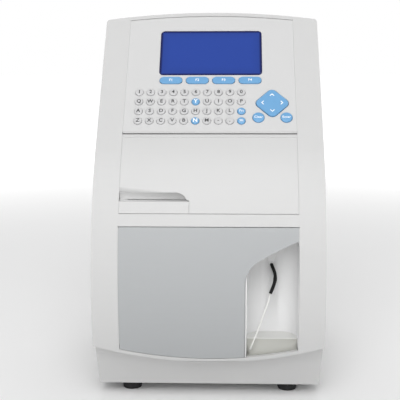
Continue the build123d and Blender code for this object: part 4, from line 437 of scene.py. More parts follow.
@dataclass(frozen=True)
class RollPaper(DrawnFinish):
    """The fibres and the fine winding of a roll of paper."""

    roughness: float = 0.8
    patch: float = 0.0008
    change: float = 0.04
    grain: float = 0.0006
    layers: float = 4.0
    relief: float = 0.00003
    lines: Point = (6.0, 1.0, 1.0)


@dataclass(frozen=True)
class PrintedInk(Finish):
    """A flat printed legend."""

    patch: float = 0.0015
    change: float = 0.06
    sheen: float = 0.4

    def build(self, shader: Shader) -> bpy.types.Material:
        """Let the ink thin out a little."""
        return shader.surface(Base_Color=self.varied(shader),
                              Roughness=self.uneven(shader.noise(self.patch * self.sheen)))


@dataclass(frozen=True)
class CircuitLaminate(Finish):
    """Solder resist over copper tracks."""

    roughness: float = 0.35
    relief: float = 0.00003
    pitch: float = 0.0045
    bend: float = 0.02
    bends: float = 2.0
    track: tuple[float, float] = (0.30, 0.36)
    gap: tuple[float, float] = (0.1, 0.2)
    shine: tuple[float, float] = (1.9, 0.01)

    def build(self, shader: Shader) -> bpy.types.Material:
        """Add tracks that run along both axes of the board.

        Args:
            shader: the material that the nodes go into.

        Returns:
            The material.
        """
        x, _, z = shader.axes()
        bent = (x / self.pitch + shader.noise(self.bend) * self.bends).fract()
        copper = (bent - 0.5).abs().step(*self.track) * ((z / self.pitch).fract() - 0.5).abs().step(*self.gap)
        times, more = self.shine
        lighter = tuple(min(1.0, part * times + more) for part in self.colour)
        return shader.surface(Base_Color=shader.mix(self.colour, lighter, copper),
                              Roughness=self.roughness + copper * self.swing,
                              Normal=shader.bump(copper, self.relief))


@dataclass(frozen=True)
class ClearPlastic(Finish):
    """Clear or milky plastic, from a tube to a cast housing."""

    cover: float = 0.6
    roughness: float = 0.2
    patch: float = 0.006
    change: float = 0.03
    streak: float = 0.004
    coat: float = 0.5

    def build(self, shader: Shader) -> bpy.types.Material:
        """Let thin streaks change how clear it is.

        Args:
            shader: the material that the nodes go into.

        Returns:
            The material.
        """
        streaks = shader.noise(self.streak)
        return shader.surface(Base_Color=self.varied(shader), Roughness=self.uneven(streaks),
                              Alpha=self.uneven(streaks, self.cover), Coat_Weight=self.coat)


@dataclass(frozen=True)
class LitDisplay(Finish):
    """The lens over a lit blue display: a printed border that fades into the lit field."""

    roughness: float = 0.12
    gloss: float = 0.35
    border: Colour = (0.003, 0.006, 0.055)
    centre_up: float = 0.1095
    half_width: float = 0.0585
    half_height: float = 0.032
    edge: float = 0.0012
    band: float = 0.0036
    depth: float = 0.0144
    deep: float = 0.82
    cloud: float = 0.05
    cloud_share: float = 0.3
    dot: float = 0.0009
    dot_edge: tuple[float, float] = (0.40, 0.5)
    dot_share: float = 0.35
    dot_swing: float = 0.02
    glow: float = 0.55

    def build(self, shader: Shader) -> bpy.types.Material:
        """Darken the field towards its border and add the faint dots of the display.

        Args:
            shader: the material that the nodes go into.

        Returns:
            The material.
        """
        x, y, z = shader.axes()
        up = (y - CONSOLE.origin.y) * CONSOLE.up.y + (z - CONSOLE.origin.z) * CONSOLE.up.z - self.centre_up
        inside = (self.half_width - x.abs()).min(self.half_height - up.abs())
        across, along = (((way / self.dot).fract() - 0.5).abs() for way in (x, up))
        dots = across.max(along).step(*self.dot_edge)
        deep = tuple(part * self.deep for part in self.colour)
        cloud = shader.noise(self.cloud) * self.cloud_share
        picture = shader.mix(deep, self.colour, inside.step(0.0, self.depth) * (1 - self.cloud_share) + cloud)
        shown = shader.mix(self.border, shader.mix(picture, deep, dots * self.dot_share),
                           inside.step(self.edge, self.band))
        return shader.surface(
            Base_Color=shown, Roughness=self.roughness + dots * self.dot_swing, Specular_IOR_Level=self.gloss,
            Emission_Color=shown, Emission_Strength=self.glow)


class Look(Enum):
    """The finishes of this analyzer."""

    HOUSING = MouldedPlastic("housing_moulding", (0.56, 0.56, 0.558))
    CONSOLE_FACE = MouldedPlastic("console_moulding", (0.575, 0.575, 0.575), roughness=0.45, grain=0.0004)
    COVER = MouldedPlastic("cover_moulding", (0.555, 0.555, 0.553), roughness=0.38)
    LINER = MouldedPlastic("niche_moulding", (0.765, 0.765, 0.765), roughness=0.6, patch=0.04, gloss=0.25)
    DOOR = MouldedPlastic("door_moulding", (0.388, 0.400, 0.408), roughness=0.34, change=0.01)
    TRAY = TrayPlastic("tray_moulding", (0.43, 0.43, 0.40), roughness=0.5, patch=0.02, change=0.03)
    BLACK = MouldedPlastic("black_moulding", (0.022, 0.022, 0.024), roughness=0.4, change=0.1)
    MECHANISM = MouldedPlastic("mechanism_moulding", (0.30, 0.31, 0.33), roughness=0.4)
    BLUE_KEY = MouldedPlastic("blue_key", (0.133, 0.336, 0.585), roughness=0.36, patch=0.01, change=0.03)
    GREY_KEY = SoftRubber("grey_key", (0.53, 0.53, 0.535), roughness=0.5)
    SLEEVE = SoftRubber("sleeve_rubber", (0.002, 0.002, 0.002), roughness=0.55, gloss=0.25)
    FOOT = SoftRubber("foot_rubber", (0.014, 0.014, 0.015))
    ROLLER = SoftRubber("roller_rubber", (0.03, 0.03, 0.032), roughness=0.6)
    SHEET = PaintedSteel("coated_sheet", (0.60, 0.60, 0.60))
    REAR_SHEET = PaintedSteel("rear_sheet", (0.66, 0.66, 0.655))
    STEEL = BareSteel("drawn_steel", (0.58, 0.58, 0.60))
    DARK_INK = PrintedInk("dark_ink", (0.035, 0.036, 0.038))
    WHITE_INK = PrintedInk("white_ink", (0.88, 0.90, 0.92))
    PAPER = RollPaper("roll_paper", (0.84, 0.84, 0.82))
    LAMINATE = CircuitLaminate("circuit_laminate", (0.012, 0.10, 0.045))
    CAST = ClearPlastic("clear_casting", (0.70, 0.74, 0.76), cover=0.55)
    CAPILLARY = ClearPlastic("milky_capillary", (0.82, 0.82, 0.80), cover=0.92, roughness=0.3)
    DISPLAY = LitDisplay("lit_display", (0.012, 0.037, 0.212))

    def material(self) -> bpy.types.Material:
        """Return the material of this finish."""
        return self.value.material()


# ---------------------------------------------------------------- shared mesh helpers
@dataclass(frozen=True)
class Console:
    """The leaning plane of the console: x to the right, up along it, out of its face."""

    lean: float = math.radians(39.5)
    origin: Vector = field(default_factory=lambda: Vector((0.0, -0.080627, 0.2875)))

    @property
    def up(self) -> Vector:
        """Return the direction up the console."""
        return Vector((0, math.sin(self.lean), math.cos(self.lean)))

    @property
    def out(self) -> Vector:
        """Return the direction out of the console's face."""
        return Vector((0, -math.cos(self.lean), math.sin(self.lean)))

    def matrix(self, x: float = 0.0, up: float = 0.0, out: float = 0.0, turn: float = 0.0) -> Matrix:
        """Return the place of something drawn flat, with its own x right, y up and z outwards.

        Args:
            x, up, out: where its origin goes, in metres.
            turn: its angle in the console's plane, in radians.

        Returns:
            The matrix of the place.
        """
        place = self.origin + Vector((x, 0, 0)) + self.up * up + self.out * out
        flat = Matrix((Vector((1, 0, 0)), self.up, self.out)).transposed().to_4x4()
        return Matrix.Translation(place) @ flat @ Matrix.Rotation(turn, 4, "Z")


CONSOLE = Console()


def finished(form: bmesh.types.BMesh, name: str) -> bpy.types.Mesh:
    """Turn a form into a mesh of its own and free it.

    Args:
        form: the form.
        name: the mesh's name.

    Returns:
        The mesh.
    """
    mesh = bpy.data.meshes.new(name)
    form.to_mesh(mesh)
    form.free()
    return mesh


def linked(name: str, data: bpy.types.ID) -> bpy.types.Object:
    """Add an object with some data to the scene.

    Args:
        name: the object's name.
        data: its mesh, text, light or camera.

    Returns:
        The object.
    """
    thing = bpy.data.objects.new(name, data)
    bpy.context.scene.collection.objects.link(thing)
    return thing


def evaluated(holder: bpy.types.Object) -> bpy.types.Mesh:
    """Return the mesh that an object comes to, and remove the object.

    Args:
        holder: the object.

    Returns:
        The mesh.
    """
    bpy.context.view_layer.update()
    mesh = bpy.data.meshes.new_from_object(holder.evaluated_get(bpy.context.evaluated_depsgraph_get()))
    bpy.data.objects.remove(holder)
    return mesh


def joined(parts: Iterable[tuple[bpy.types.Mesh, Matrix]]) -> bpy.types.Mesh:
    """Join meshes, each moved to its place, into one.

    Args:
        parts: each mesh with its place.

    Returns:
        The joined mesh.
    """
    form = bmesh.new()
    for mesh, place in parts:
        mesh.transform(place)
        form.from_mesh(mesh)
        bpy.data.meshes.remove(mesh)
    return finished(form, "joined")


def text_mesh(text: str, size: float, weight: float, tile: float = 0.8 * MM,
              relief: float = 0.02 * MM) -> bpy.types.Mesh:
    """Return a word as a flat mesh, centred on the origin.

    Args:
        text: the word.
        size: its size, in metres.
        weight: how much bolder than the plain face it is, in metres.
        tile: the strokes are cut into tiles of this size, so that they can follow a dome.
        relief: half its thickness.

    Returns:
        The word's mesh.
    """
    curve = bpy.data.curves.new("word", "FONT")
    curve.body, curve.size, curve.offset = text, size, weight
    curve.align_x, curve.align_y, curve.extrude = "CENTER", "CENTER", relief
    curve.resolution_u = 3
    mesh = evaluated(linked("word", curve))
    form = bmesh.new()
    form.from_mesh(mesh)
    bpy.data.meshes.remove(mesh)
    for axis in (0, 1):
        cut = Vector((1 - axis, axis, 0))
        reach = int(max(abs(corner.co[axis]) for corner in form.verts) / tile)
        for index in range(-reach, reach + 1):
            bmesh.ops.bisect_plane(form, geom=form.verts[:] + form.edges[:] + form.faces[:], dist=MERGE / 10,
                                   plane_co=cut * index * tile, plane_no=cut)
    return finished(form, "word")


def bar_mesh(rings: Iterable[Iterable[Sequence[float]]]) -> bpy.types.Mesh:
    """Return a closed four-sided bar through rings of four corners.

    Args:
        rings: the rings, from one end to the other.

    Returns:
        The bar's mesh.
    """
    form = bmesh.new()
    corners = [[form.verts.new(point) for point in ring] for ring in rings]
    for first, second in zip(corners, corners[1:]):
        for index in range(4):
            form.faces.new((first[index], first[(index + 1) % 4], second[(index + 1) % 4], second[index]))
    form.faces.new(corners[0][::-1])
    form.faces.new(corners[-1])
    bmesh.ops.recalc_face_normals(form, faces=form.faces)
    return finished(form, "bar")


def stroke_mesh(points: Sequence[tuple[float, float]], width: float, thick: float = 0.04 * MM,
                mitre: float = 0.3) -> bpy.types.Mesh:
    """Return a flat mitred stroke through some points, a little thick.

    Args:
        points: its corners in the plane, in metres.
        width: how wide it is.
        thick: how thick it is.
        mitre: the smallest cosine that a corner is drawn out to.

    Returns:
        The stroke's mesh.
    """
    spots = [Vector((*point, 0)) for point in points]
    lift = Vector((0, 0, thick))
    rings = []
    for index, spot in enumerate(spots):
        before = (spot - spots[index - 1]).normalized() if index else None
        after = (spots[index + 1] - spot).normalized() if index + 1 < len(spots) else None
        along = ((before or after) + (after or before)).normalized()
        side = Vector((-along.y, along.x, 0)) * width / 2 / max(mitre, along.dot(after or before))
        rings.append((spot + side, spot - side, spot - side + lift, spot + side + lift))
    return bar_mesh(rings)


class Model:
    """The loaded frame, and the look of each of its nodes."""

    def __init__(self) -> None:
        """Load the frame and note the CAD box before anything is added."""
        self.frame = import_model()
        self.box = [list(corner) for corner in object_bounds()]
        record = self.frame["record"]
        self.body_of = {node: body for body, nodes in record["behaviour"]["bodies"].items() for node in nodes}
        self.slot_of = {part["node"]: part["material_slot"] for part in record["subparts"]}

    def paint(self, look: Look, *nodes: str) -> None:
        """Give CAD nodes, whose shapes stay, a finish.

        Args:
            look: the finish.
            nodes: the CAD nodes.
        """
        for node in nodes:
            mesh = self.frame["nodes"][node].data
            mesh.materials.clear()
            mesh.materials.append(look.material())
            LOG.info("%s: %s", node, look.name)

    def smooth(self, look: Look, *nodes: str, angle: float = 25.0,
               fit: Callable[[Vector], None] | None = None) -> None:
        """Stand a merged and smoothly shaded copy in for curved CAD nodes, with the same shape.

        Args:
            look: their finish.
            nodes: the CAD nodes.
            angle: edges below this angle, in degrees, are shaded smooth.
            fit: moves a corner of the copy by about a millimetre at most, to narrow or close a gap.
        """
        for node in nodes:
            form = bmesh.new()
            form.from_mesh(self.frame["nodes"][node].data)
            bmesh.ops.remove_doubles(form, verts=form.verts, dist=MERGE)
            for corner in form.verts if fit else []:
                fit(corner.co)
            skin = node + "_skin"
            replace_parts(self.add(skin, finished(form, skin), look, node, angle), node)

    def add(self, name: str, mesh: bpy.types.Mesh, look: Look, beside: str,
            angle: float | None = 35.0) -> bpy.types.Object:
        """Add a finished mesh that rides with a CAD node.

        Args:
            name: the piece's name.
            mesh: its mesh, already in place.
            look: its finish, where the mesh has none yet.
            beside: the CAD node whose body it takes.
            angle: edges below this angle, in degrees, are shaded smooth.

        Returns:
            The new object.
        """
        piece = linked(name, mesh)
        if not mesh.materials:
            mesh.materials.append(look.material())
        if angle is not None:
            mesh.polygons.foreach_set("use_smooth", [True] * len(mesh.polygons))
            mesh.set_sharp_from_angle(angle=math.radians(angle))
        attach(piece, self.body_of[beside])
        self.slot_of[beside]
        LOG.info("%s: %d faces on %s", name, len(mesh.polygons), self.body_of[beside])
        return piece


class Grower(Tree):
    """A Geometry Nodes tree with named inputs, run once on a mesh and baked."""

    KINDS: ClassVar[dict[type, str]] = {float: "NodeSocketFloat", bpy.types.Material: "NodeSocketMaterial"}

    def __init__(self, name: str, **inputs: float | bpy.types.Material) -> None:
        """Start a tree.

        Args:
            name: the tree's name.
            inputs: the value of each input, by name.
        """
        super().__init__(bpy.data.node_groups.new(name, "GeometryNodeTree"))
        self.tree.interface.new_socket("Geometry", in_out="INPUT", socket_type="NodeSocketGeometry")
        self.tree.interface.new_socket("Geometry", in_out="OUTPUT", socket_type="NodeSocketGeometry")
        self.values = {}
        for given, value in inputs.items():
            kind = self.KINDS[type(value)]
            socket = self.tree.interface.new_socket(given, in_out="INPUT", socket_type=kind)
            self.values[socket.identifier] = value
        self.source = self.tree.nodes.new("NodeGroupInput")

    def given(self, name: str) -> bpy.types.NodeSocket:
        """Return an input of the tree by name."""
        return self.source.outputs[name]

    def node(self, kind: str, inputs: dict[str, object] | None = None,
             **settings: object) -> bpy.types.NodeSocket:
        """Add a node, as made() does, and return its first output."""
        return self.made(kind, settings, inputs).outputs[0]

    def vector(self, **parts: object) -> bpy.types.NodeSocket:
        """Combine X, Y and Z into a vector."""
        return self.node("ShaderNodeCombineXYZ", parts)

    def scaled(self, geometry: bpy.types.NodeSocket, x: object, y: object, z: object) -> bpy.types.NodeSocket:
        """Scale a geometry along its three axes."""
        return self.node("GeometryNodeTransform", {"Geometry": geometry, "Scale": self.vector(X=x, Y=y, Z=z)})

    def moved(self, geometry: bpy.types.NodeSocket, height: object) -> bpy.types.NodeSocket:
        """Move a geometry up its own Z axis."""
        lift = self.vector(Z=height)
        return self.node("GeometryNodeTransform", {"Geometry": geometry, "Translation": lift})

    def box(self, x: object, y: object, z: object) -> bpy.types.NodeSocket:
        """Add a block centred on the origin."""
        return self.node("GeometryNodeMeshCube", {"Size": self.vector(X=x, Y=y, Z=z)})

    def ball(self, segments: int, rings: int) -> bpy.types.NodeSocket:
        """Add a ball of radius one."""
        return self.node("GeometryNodeMeshUVSphere", {"Segments": segments, "Rings": rings, "Radius": 1.0})

    def repeated(self, piece: bpy.types.NodeSocket) -> bpy.types.NodeSocket:
        """Set a piece on each point of the mesh that the tree is run on."""
        places = self.given("Geometry")
        return self.node("GeometryNodeInstanceOnPoints", {"Points": places, "Instance": piece})

    def maths(self, operation: str, *terms: object) -> bpy.types.NodeSocket:
        """Add a Math node."""
        return self.node("ShaderNodeMath", numbered(terms), operation=operation)

    def bake(self, geometry: bpy.types.NodeSocket, mesh: bpy.types.Mesh) -> bpy.types.Mesh:
        """End the tree, run it on a mesh and return the result as a plain mesh.

        Args:
            geometry: what the tree makes.
            mesh: what it is run on.

        Returns:
            The plain mesh.
        """
        real = self.node("GeometryNodeRealizeInstances", {"Geometry": geometry})
        dressed = self.node("GeometryNodeSetMaterial", {"Geometry": real, "Material": self.given("Finish")})
        end = self.tree.nodes.new("NodeGroupOutput")
        self.tree.links.new(dressed, end.inputs[0])
        holder = linked("grower", mesh)
        modifier = holder.modifiers.new("grow", "NODES")
        modifier.node_group = self.tree
        for identifier, value in self.values.items():
            modifier[identifier] = value
        return evaluated(holder)


def points_mesh(points: Iterable[Point], line: bool = False) -> bpy.types.Mesh:
    """Return a mesh of bare points, or of one line through them.

    Args:
        points: the places, in order.
        line: whether they are joined up.

    Returns:
        The mesh.
    """
    spots = [tuple(point) for point in points]
    edges = [(index, index + 1) for index in range(len(spots) - 1)] if line else []
    mesh = bpy.data.meshes.new("points")
    mesh.from_pydata(spots, edges, [])
    return mesh


def domes(places: Iterable[Point], radius: float, rise: float, look: Look, segments: int = 36,
          rings: int = 14) -> bpy.types.Mesh:
    """Return low domes, flat side down, at places in their own plane.

    Args:
        places: the middle of each dome's base.
        radius, rise: its size, in metres.
        look: its finish.
        segments, rings: how finely it is cut up.

    Returns:
        The domes' mesh.
    """
    tree = Grower("key_domes", Radius=radius, Rise=rise, Finish=look.material())
    wide, high = tree.given("Radius"), tree.given("Rise")
    dome = tree.scaled(tree.ball(segments, rings), wide, wide, high)
    return tree.bake(tree.repeated(dome), points_mesh(places))


# ---------------------------------------------------------------- sub-assemblies
@dataclass
class Keypad:
    """Keys, pad and display of the console, with their printed legends."""

    model: Model
    pitch_x: float = 12.7 * MM
    pitch_up: float = 12.8 * MM
    first_x: float = -79.5 * MM
    first_up: float = 53.3 * MM
    raised: float = 1.2 * MM
    key_radius: float = 4.02 * MM
    dome: float = 0.45 * MM
    cap_angle: float = 60.0
    letter: float = 6.2 * MM
    round_letter: float = 4.3 * MM
    function_letter: float = 4.6 * MM
    medium: float = 0.17 * MM
    bold: float = 0.22 * MM
    fine: float = 0.05 * MM
    functions: int = 4
    function_pitch: float = 29.8 * MM
    function_up: float = 70.0 * MM
    pad_x: float = 69.0 * MM
    pad_up: float = 38.5 * MM
    pad_raised: float = 1.5 * MM
    chevron_place: float = 10.8 * MM
    chevron: tuple[tuple[float, float], ...] = tuple(
        (2.3 * MM * x, 2.3 * MM * up) for x, up in ((-1, -0.62), (0, 0.38), (1, -0.62)))
    chevron_width: float = 0.95 * MM
    round_radius: float = 5.9 * MM
    round_up: float = 19.3 * MM
    round_spread: float = 30.8 * MM
    rows: tuple[str, ...] = ("1234567890", "QWERT UIOP", "ASDFGHJKL ", "ZXCVB M-. ")
    blue: dict[str, tuple[int, int, str, float]] = field(default_factory=lambda: {
        "yes_key": (5, 1, "Y", 6.8 * MM), "no_key": (5, 3, "N", 6.8 * MM),
        "print_key": (9, 2, "Prt", 4.3 * MM), "shift_key": (9, 3, "Sft", 4.3 * MM)})

    def place(self, column: int, row: int) -> tuple[float, float]:
        """Return a key's place in the console's plane."""
        return self.first_x + column * self.pitch_x, self.first_up - row * self.pitch_up

    def legend(self, text: str, size: float, radius: float, weight: float) -> bpy.types.Mesh:
        """Return a word that follows the dome it is printed on.

        Args:
            text: the word.
            size: its size.
            radius: the dome's radius, or 0 on a flat key.
            weight: how bold it is.

        Returns:
            The legend's mesh.
        """
        mesh = text_mesh(text, size, weight)
        for corner in mesh.vertices if radius else []:
            share = max(0.0, 1 - (corner.co.x ** 2 + corner.co.y ** 2) / radius ** 2)
            corner.co.z += self.dome * math.sqrt(share)
        return mesh

    def caps(self, name: str, places: Iterable[tuple[float, float]], radius: float, look: Look,
             beside: str) -> None:
        """Add domes at places on the console, as one piece.

        Args:
            name: the piece's name.
            places: the middle of each dome in the console's plane.
            radius: their radius.
            look: their finish.
            beside: the CAD node that they ride with.
        """
        caps = domes([(*place, self.raised) for place in places], radius, self.dome, look)
        caps.transform(CONSOLE.matrix())
        self.model.add(name, caps, look, beside, self.cap_angle)

    def grey_keys(self) -> None:
        """Add the domes and letters of the keys of the mat."""
        marks = {self.place(column, row): mark for row, line in enumerate(self.rows)
                 for column, mark in enumerate(line) if mark != " "}
        self.caps("key_caps", marks, self.key_radius, Look.GREY_KEY, "keypad_mat")
        letters = [(self.legend(mark, self.letter, self.key_radius, self.medium),
                    CONSOLE.matrix(*place, self.raised)) for place, mark in marks.items()]
        self.model.add("key_letters", joined(letters), Look.DARK_INK, "keypad_mat", None)

    def blue_key(self, node: str, x: float, up: float, text: str, size: float, radius: float) -> None:
        """Add a blue key's dome and its white legend, which move with it.

        Args:
            node: the key's CAD node.
            x, up: its place in the console's plane.
            text, size: its legend.
            radius: its dome's radius, or 0 on a flat key.
        """
        if radius:
            self.caps(node + "_cap", [(x, up)], radius, Look.BLUE_KEY, node)
        weight = self.bold if len(text) == 1 else self.fine
        word = joined([(self.legend(text, size, radius, weight), CONSOLE.matrix(x, up, self.raised))])
        self.model.add(node + "_legend", word, Look.WHITE_INK, node, None)

    def chevrons(self) -> None:
        """Add the pad's four arrows."""
        out = Matrix.Translation((0, self.chevron_place, 0))
        marks = [(stroke_mesh(self.chevron, self.chevron_width),
                  CONSOLE.matrix(self.pad_x, self.pad_up, self.pad_raised, turn * math.pi / 2) @ out)
                 for turn in range(4)]
        self.model.add("pad_chevrons", joined(marks), Look.WHITE_INK, "cursor_pad", None)

    def build(self) -> None:
        """Dress the console and add its legends."""
        model = self.model
        names = [f"function_key_{index + 1}" for index in range(self.functions)]
        model.paint(Look.CONSOLE_FACE, "console_panel")
        model.paint(Look.DISPLAY, "display_window")
        model.paint(Look.BLACK, "display_module")
        model.paint(Look.GREY_KEY, "keypad_mat")
        model.paint(Look.LAMINATE, "keypad_board")
        model.paint(Look.MECHANISM, "cursor_cross", "cursor_base")
        model.paint(Look.BLUE_KEY, "cursor_pad", "clear_key", "enter_key", *self.blue, *names)
        self.grey_keys()
        for node, (column, row, text, size) in self.blue.items():
            self.blue_key(node, *self.place(column, row), text, size, self.key_radius)
        for side, text in ((-1, "Clear"), (1, "Enter")):
            x = self.pad_x + side * self.round_spread / 2
            self.blue_key(text.lower() + "_key", x, self.round_up, text, self.round_letter, self.round_radius)
        for index, node in enumerate(names):
            x = (index - (self.functions - 1) / 2) * self.function_pitch
            self.blue_key(node, x, self.function_up, f"F{index + 1}", self.function_letter, 0)
        self.chevrons()


@dataclass
class Screw:
    """A cross-recessed screw with a domed head, grown wherever it is needed."""

    head: float
    shank: float
    length: float
    rise: float = 1.5 * MM
    recess: float = 9 / 8
    slot: float = 0.24
    segments: int = 28
    rings: int = 14
    shank_sides: int = 20

    def grow(self, places: Iterable[Point]) -> bpy.types.Mesh:
        """Return screws, heads up, at places in their own plane.

        Args:
            places: the middle of each head's flat side.

        Returns:
            The screws' mesh.
        """
        tree = Grower("screws", Head=self.head, Rise=self.rise, Recess=self.head * self.recess,
                      Shank=self.shank, Length=self.length, Finish=Look.STEEL.material())
        head, rise, recess, length = (tree.given(name) for name in ("Head", "Rise", "Recess", "Length"))
        dome = tree.scaled(tree.ball(self.segments, self.rings), head, head, rise)
        wide = tree.maths("MULTIPLY", head, 3.0)
        below = tree.moved(tree.box(wide, wide, wide), tree.maths("MULTIPLY", wide, -0.5))
        narrow = tree.maths("MULTIPLY", recess, self.slot)
        slots = [tree.moved(tree.box(*sides, rise), rise) for sides in ((recess, narrow), (narrow, recess))]
        cuts = {"Mesh 1": dome, "Mesh 2": [below, *slots]}
        top = tree.node("GeometryNodeMeshBoolean", cuts, operation="DIFFERENCE")
        shaft = tree.node("GeometryNodeMeshCylinder", {
            "Vertices": self.shank_sides, "Radius": tree.given("Shank"), "Depth": length})
        shaft = tree.moved(shaft, tree.maths("MULTIPLY", length, -0.5))
        whole = tree.node("GeometryNodeJoinGeometry", {"Geometry": [top, shaft]})
        return tree.bake(tree.repeated(whole), points_mesh(places))


@dataclass
class Housing:
    """The two mouldings, the base, the feet and the screws."""

    model: Model
    shank: float = 1.88 * MM
    panel_screw: tuple[float, float] = (3.2 * MM, 7.0 * MM)
    panel_back: float = 146.0 * MM
    panel_places: tuple[tuple[float, float], ...] = tuple(
        (side * 116.1 * MM, height * MM) for side in (-1, 1) for height in (66.0, 209.0, 378.0))
    stud: tuple[float, float] = (2.88 * MM, 12.0 * MM)
    stud_seat: float = 7.9 * MM
    stud_places: tuple[tuple[float, float], ...] = tuple(
        (side * 107.0 * MM, y * MM) for side in (-1, 1) for y in (-92.0, 96.0))

    def screws(self) -> bpy.types.Mesh:
        """Return the screws of the rear panel and of the feet.

        Returns:
            One mesh of them all.
        """
        head, length = self.panel_screw
        rear = Screw(head, self.shank, length).grow((-x, z, 0) for x, z in self.panel_places)
        head, length = self.stud
        below = Screw(head, self.shank, length).grow((x, -y, 0) for x, y in self.stud_places)
        under = Matrix.Translation((0, 0, self.stud_seat)) @ Matrix.Rotation(math.pi, 4, "X")
        return joined([(rear, Matrix.Translation((0, self.panel_back, 0)) @ BACKWARDS), (below, under)])

    def build(self) -> None:
        """Dress the housing and set its screws."""
        model = self.model
        model.smooth(Look.HOUSING, "front_frame", "rear_housing", angle=20)
        model.paint(Look.SHEET, "base_pan", "chassis_plate")
        model.smooth(Look.FOOT, "rubber_feet")
        screws = model.add("cross_head_screws", self.screws(), Look.STEEL, "housing_screws")
        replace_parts(screws, "housing_screws")


@dataclass
class Reveals:
    """The thin lips that stand in the gaps round the cover and the door."""

    model: Model
    half: float = 95.4 * MM
    edge: float = 95.05 * MM
    recess: float = 0.12 * MM
    depth: float = 0.9 * MM
    bulge: float = 110.0 * MM
    above: tuple[float, float] = (110.0 * MM, 260.0 * MM)
    below: tuple[float, float] = (70.0 * MM, 220.0 * MM)
    lean_start: float = 275.38 * MM
    cover: tuple[float, float] = (206.6 * MM, 285.4 * MM)
    door_left: tuple[float, float] = (67.0 * MM, 192.8 * MM)
    door_right: tuple[float, float] = (175.5 * MM, 192.8 * MM)
    slot: tuple[float, float] = (-0.62 * MM, 1.2 * MM)
    slot_depth: float = 2.0 * MM
    stations: int = 14
    flush: float = 0.01 * MM
    band: tuple[float, float] = (193.97 * MM, 194.5 * MM)
    band_depth: float = 1.4 * MM
    door_half: float = 94.9 * MM
    door_head: tuple[float, float] = (190.7 * MM, 193.3 * MM)
    head_depth: float = 1.0 * MM

    def front(self, height: float) -> float:
        """Return the Y of the front surface at a height.

        Args:
            height: the height, in metres.

        Returns:
            The Y, in metres.
        """
        middle, radius = self.above if height > self.bulge else self.below
        curved = middle - math.sqrt(radius ** 2 - (min(height, self.lean_start) - self.bulge) ** 2)
        return curved + max(0.0, height - self.lean_start) * math.tan(CONSOLE.lean)

    def lip(self, left: float, right: float, span: tuple[float, float], recess: float,
            depth: float) -> bpy.types.Mesh:
        """Return a lip that follows the front surface.

        Args:
            left, right: its two sides.
            span: its lowest and highest point.
            recess: how far it stands behind the front surface.
            depth: its size from front to back.

        Returns:
            The lip's mesh.
        """
        rings = []
        for index in range(self.stations + 1):
            height = span[0] + (span[1] - span[0]) * index / self.stations
            face = self.front(height) + recess
            rings.append([(x, y, height) for x, y in (
                (left, face), (right, face), (right, face + depth), (left, face + depth))])
        return bar_mesh(rings)

    def build(self) -> None:
        """Add the lips."""
        upright = [(side * self.edge, side * self.half, span, self.recess, self.depth) for side, span in (
            (-1, self.cover), (1, self.cover), (-1, self.door_left), (1, self.door_right))]
        band = (-self.edge, self.edge, self.band, self.flush, self.band_depth)
        lips = joined([(self.lip(*sizes), Matrix()) for sizes in (*upright, band)])
        self.model.add("rebate_lips", lips, Look.HOUSING, "front_frame")
        head = self.lip(-self.door_half, self.door_half, self.door_head, self.flush, self.head_depth)
        self.model.add("door_head", head, Look.DOOR, "front_door")
        low, high = self.slot
        middle = (low + high) / 2
        ends = [(-self.edge, middle), (self.edge, middle)]
        strip = stroke_mesh(ends, high - low, self.slot_depth - self.recess)
        strip.transform(CONSOLE.matrix(out=-self.slot_depth))
        self.model.add("slot_lip", strip, Look.HOUSING, "front_frame")


@dataclass
class PrinterBay:
    """The printer under its cover."""

    model: Model
    slot_top: float = 220.8 * MM
    slot_ends: tuple[float, float] = (-87.0 * MM, -23.8 * MM)
    slot_lip: float = 0.45 * MM

    def narrow(self, corner: Vector) -> None:
        """Draw the upper edge of the paper slot down to a fine line.

        Args:
            corner: a corner of the cover, moved in place.
        """
        left, right = self.slot_ends
        if abs(corner.z - self.slot_top) < self.slot_lip / 10 and left < corner.x < right:
            corner.z -= self.slot_lip

    def build(self) -> None:
        """Dress the cover and the printer."""
        model = self.model
        model.smooth(Look.COVER, "printer_cover", angle=20, fit=self.narrow)
        model.smooth(Look.COVER, "tear_bar", angle=20)
        model.paint(Look.STEEL, "platen_shaft", "cover_hinge_pins")
        model.paint(Look.SHEET, "printer_frame")
        model.paint(Look.BLACK, "print_head", "paper_spindle")
        model.smooth(Look.ROLLER, "platen_roller")
        model.smooth(Look.PAPER, "paper_roll")


@dataclass
class ModuleBay:
    """The door, the bay behind it and what it carries."""

    model: Model

    def build(self) -> None:
        """Dress the door, the pump, the valve, the electrodes and the pack."""
        model = self.model
        model.smooth(Look.DOOR, "front_door", angle=20)
        model.paint(Look.STEEL, "door_hinge_pins", "door_strikes", "pump_rollers", "valve_plunger")
        model.paint(Look.BLACK, "door_magnets", "pinch_valve")
        model.paint(Look.LINER, "module_bay")
        model.smooth(Look.MECHANISM, "pump_housing", "pump_rotor", "electrode_holder")
        model.smooth(Look.CAST, "electrodes")
        model.smooth(Look.CAPILLARY, "pump_tube")
        model.smooth(Look.STEEL, "pump_motor")
        model.smooth(Look.COVER, "reagent_pack")


